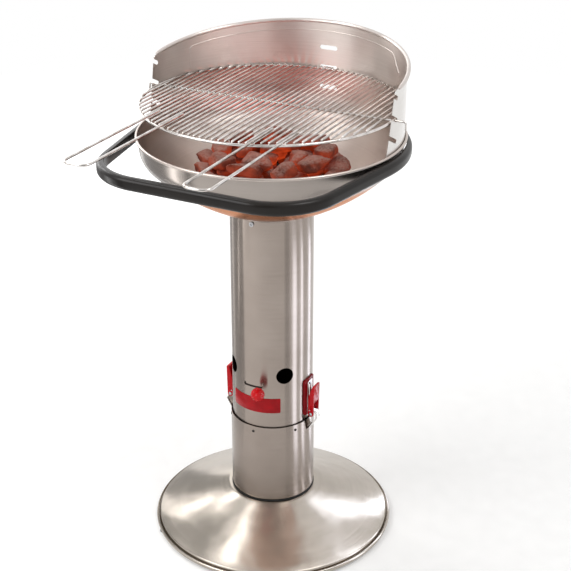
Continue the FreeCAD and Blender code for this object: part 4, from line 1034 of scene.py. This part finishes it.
studio = {"floor": 3.4, "diffuse": 0.5, "liftNear": 0.24, "liftFar": 0.6}
softboxes = [{"name": "keyLeft", "angle": -34.0, "distance": 1.7, "height": 1.7, "aim": (-0.3, -0.5, 0.1),
              "size": (1.2, 1.0), "level": 4.2},
             {"name": "sideLeft", "angle": -69.0, "distance": 0.5, "height": 0.4, "aim": (0, 0, 0.4),
              "size": (0.02, 0.22), "level": 3.0, "onlyShine": True},
             {"name": "bowlGlint", "angle": -46.0, "distance": 0.5, "height": 0.68, "aim": (0, 0, 0.68),
              "size": (0.05, 0.24), "level": 3.6, "onlyShine": True},
             {"name": "sideRight", "angle": 86.0, "distance": 0.36, "height": 0.26, "aim": (0, 0, 0.26),
              "size": (0.07, 0.5), "level": 2.8, "color": "#e4edff", "onlyShine": True},
             {"name": "sideRightFar", "angle": 109.0, "distance": 0.36, "height": 0.26, "aim": (0, 0, 0.26),
              "size": (0.045, 0.5), "level": 4.0, "color": "#e4edff", "onlyShine": True},
             {"name": "sideRightEdge", "angle": 142.0, "distance": 0.36, "height": 0.26, "aim": (0, 0, 0.26),
              "size": (0.06, 0.5), "level": 3.8, "color": "#e4edff", "onlyShine": True},
             {"name": "backLeft", "angle": 240.0, "distance": 2.25, "height": 1.3, "aim": (0, 0, 0.2),
              "size": (2.6, 2.2), "level": 0.9},
             {"name": "glintMiddle", "angle": 257.0, "distance": 1.53, "height": 1.66, "aim": (0, 0, 0.1),
              "size": (0.34, 0.34), "level": 7.0},
             {"name": "glintHigh", "angle": 281.0, "distance": 0.71, "height": 1.92, "aim": (0, 0, 0.1),
              "size": (0.3, 0.3), "level": 7.0},
             {"name": "glintLow", "angle": 252.0, "distance": 1.99, "height": 1.18, "aim": (0, 0, 0.1),
              "size": (0.34, 0.3), "level": 5.0},
             {"name": "topRight", "angle": 84.0, "distance": 1.1, "height": 2.4, "aim": (0, 0, 0.8),
              "size": (0.7, 0.6), "level": 7.0}]
# grey cards that only metal and gloss reflect: they give the steel its darker edges
cards = [{"name": "cardLeft", "angle": -77.0, "distance": 0.5, "height": 0.4, "size": (0.3, 0.8), "grey": 0.55},
         {"name": "cardLeftThin", "angle": -56.0, "distance": 0.5, "height": 0.4, "size": (0.05, 0.8),
          "grey": 0.4},
         {"name": "cardLeftBack", "angle": -112.0, "distance": 0.5, "height": 0.4, "size": (0.16, 0.8),
          "grey": 0.5},
         {"name": "cardFront", "angle": -32.0, "distance": 0.5, "height": 0.68, "size": (0.05, 0.24),
          "grey": 0.3},
         {"name": "cardHigh", "angle": 12.0, "distance": 0.7, "height": 1.12, "size": (0.36, 0.5),
          "grey": 0.3},
         {"name": "cardRight", "angle": 66.0, "distance": 0.5, "height": 0.3, "size": (0.12, 0.6),
          "grey": 0.72}]
embers = {"radius": 0.08, "spot": (0.0, 0.1, 0.822), "color": "#ff4a26", "power": 0.09}


def seenDirectly(owner):
    # 1 where the camera, metal or glass sees the background, and 0 for soft light
    path = addNode(owner, "ShaderNodeLightPath")
    seen = addNode(owner, "ShaderNodeMath", {"operation": "MAXIMUM"},
                   n0=path.outputs["Is Camera Ray"], n1=path.outputs["Is Glossy Ray"])
    return addNode(owner, "ShaderNodeMath", {"operation": "MAXIMUM"}, n0=seen,
                   n1=path.outputs["Is Transmission Ray"])


def makeStage():
    # pale floor that keeps its shadows and fades to the white background
    material, shader, place = newMaterial("paleStudioFloor")
    speck = addNode(material, "ShaderNodeTexNoise", Vector=place, Scale=30.0, Detail=3.0)
    color = addNode(material, "ShaderNodeValToRGB", {"stops": [(0.3, "#e9e9e8"), (0.7, "#efefee")]}, Fac=speck)
    reach = addNode(material, "ShaderNodeVectorMath", {"operation": "LENGTH"}, n0=place)
    lift = addNode(material, "ShaderNodeMapRange", Value=reach.outputs["Value"], From_Min=0.4, From_Max=2.2,
                   To_Min=studio["liftNear"], To_Max=studio["liftFar"])
    lifted = addNode(material, "ShaderNodeMath", {"operation": "MULTIPLY"}, n0=seenDirectly(material), n1=lift)
    fill(material, shader, Base_Color=color, Roughness=0.9, Specular_IOR_Level=0.0,
         Emission_Color=(1, 1, 1, 1), Emission_Strength=lifted)
    bm = bmesh.new()
    bmesh.ops.create_circle(bm, cap_ends=True, radius=studio["floor"], segments=96)
    mesh = meshOf(bm)
    mesh.materials.append(material)
    floor = bpy.data.objects.new("studioFloor", mesh)
    bpy.context.scene.collection.objects.link(floor)


def makeCards():
    for card in cards:
        material, shader = newMaterial(card["name"])[:2]
        fill(material, shader, Base_Color=(0, 0, 0, 1), Specular_IOR_Level=0.0, Emission_Color=(1, 1, 1, 1),
             Emission_Strength=card["grey"])
        across = radialPoint(card["angle"] + 90, card["size"][0] / 2)
        middle = radialPoint(card["angle"], card["distance"], card["height"])
        bm = bmesh.new()
        rise = up * card["size"][1] / 2
        bm.faces.new([bm.verts.new(middle + corner) for corner in (across + rise, across - rise,
                                                                   -across - rise, -across + rise)])
        mesh = meshOf(bm)
        mesh.materials.append(material)
        item = bpy.data.objects.new(card["name"], mesh)
        item.visible_camera = item.visible_diffuse = item.visible_shadow = item.visible_transmission = False
        bpy.context.scene.collection.objects.link(item)


def makeWorld():
    world = bpy.data.worlds.new("studio")
    bpy.context.scene.world = world
    world.use_nodes = True
    level = addNode(world, "ShaderNodeMapRange", Value=seenDirectly(world), To_Min=studio["diffuse"], To_Max=1.0)
    fill(world, world.node_tree.nodes["Background"], Color=(1, 1, 1, 1), Strength=level)


def makeLights():
    # level is how bright a softbox looks beside a white wall; one that only shines is seen in
    # metal and gloss, and lights neither the floor nor matt pieces
    for box in softboxes:
        lamp = bpy.data.lights.new(box["name"], "AREA")
        lamp.shape = "RECTANGLE"
        lamp.size, lamp.size_y = box["size"]
        lamp.energy = box["level"] * math.pi * lamp.size * lamp.size_y
        lamp.color = linearColor(box.get("color", "#ffffff"))[:3]
        item = bpy.data.objects.new(box["name"], lamp)
        item.location = radialPoint(box["angle"], box["distance"], box["height"])
        aim = Vector(box["aim"]) - item.location
        item.rotation_euler = aim.to_track_quat("-Z", "Y").to_euler()
        item.visible_camera = False
        item.visible_diffuse = not box.get("onlyShine", False)
        bpy.context.scene.collection.objects.link(item)
    # warm light that the embers throw on bowl, grid and windshield
    lamp = bpy.data.lights.new("emberGlow", "AREA")
    lamp.shape = "DISK"
    lamp.size = 2 * embers["radius"]
    lamp.energy = embers["power"]
    lamp.color = linearColor(embers["color"])[:3]
    item = bpy.data.objects.new("emberGlow", lamp)
    item.location = embers["spot"]
    item.rotation_euler = (math.pi, 0, 0)
    item.visible_camera = False
    bpy.context.scene.collection.objects.link(item)


def makeCamera():
    camera = bpy.data.cameras.new("photoView")
    camera.lens = 83.88
    camera.sensor_width = 36.0
    item = bpy.data.objects.new("photoView", camera)
    item.location = (1.0781, -2.0624, 1.6307)
    item.rotation_euler = (math.radians(64.546), 0.0, math.radians(26.962))
    bpy.context.scene.collection.objects.link(item)
    bpy.context.scene.camera = item
    bpy.context.scene.view_settings.view_transform = "Standard"


makeStage()
makeCards()
makeWorld()
makeLights()
makeCamera()
print("stage, light and camera set")
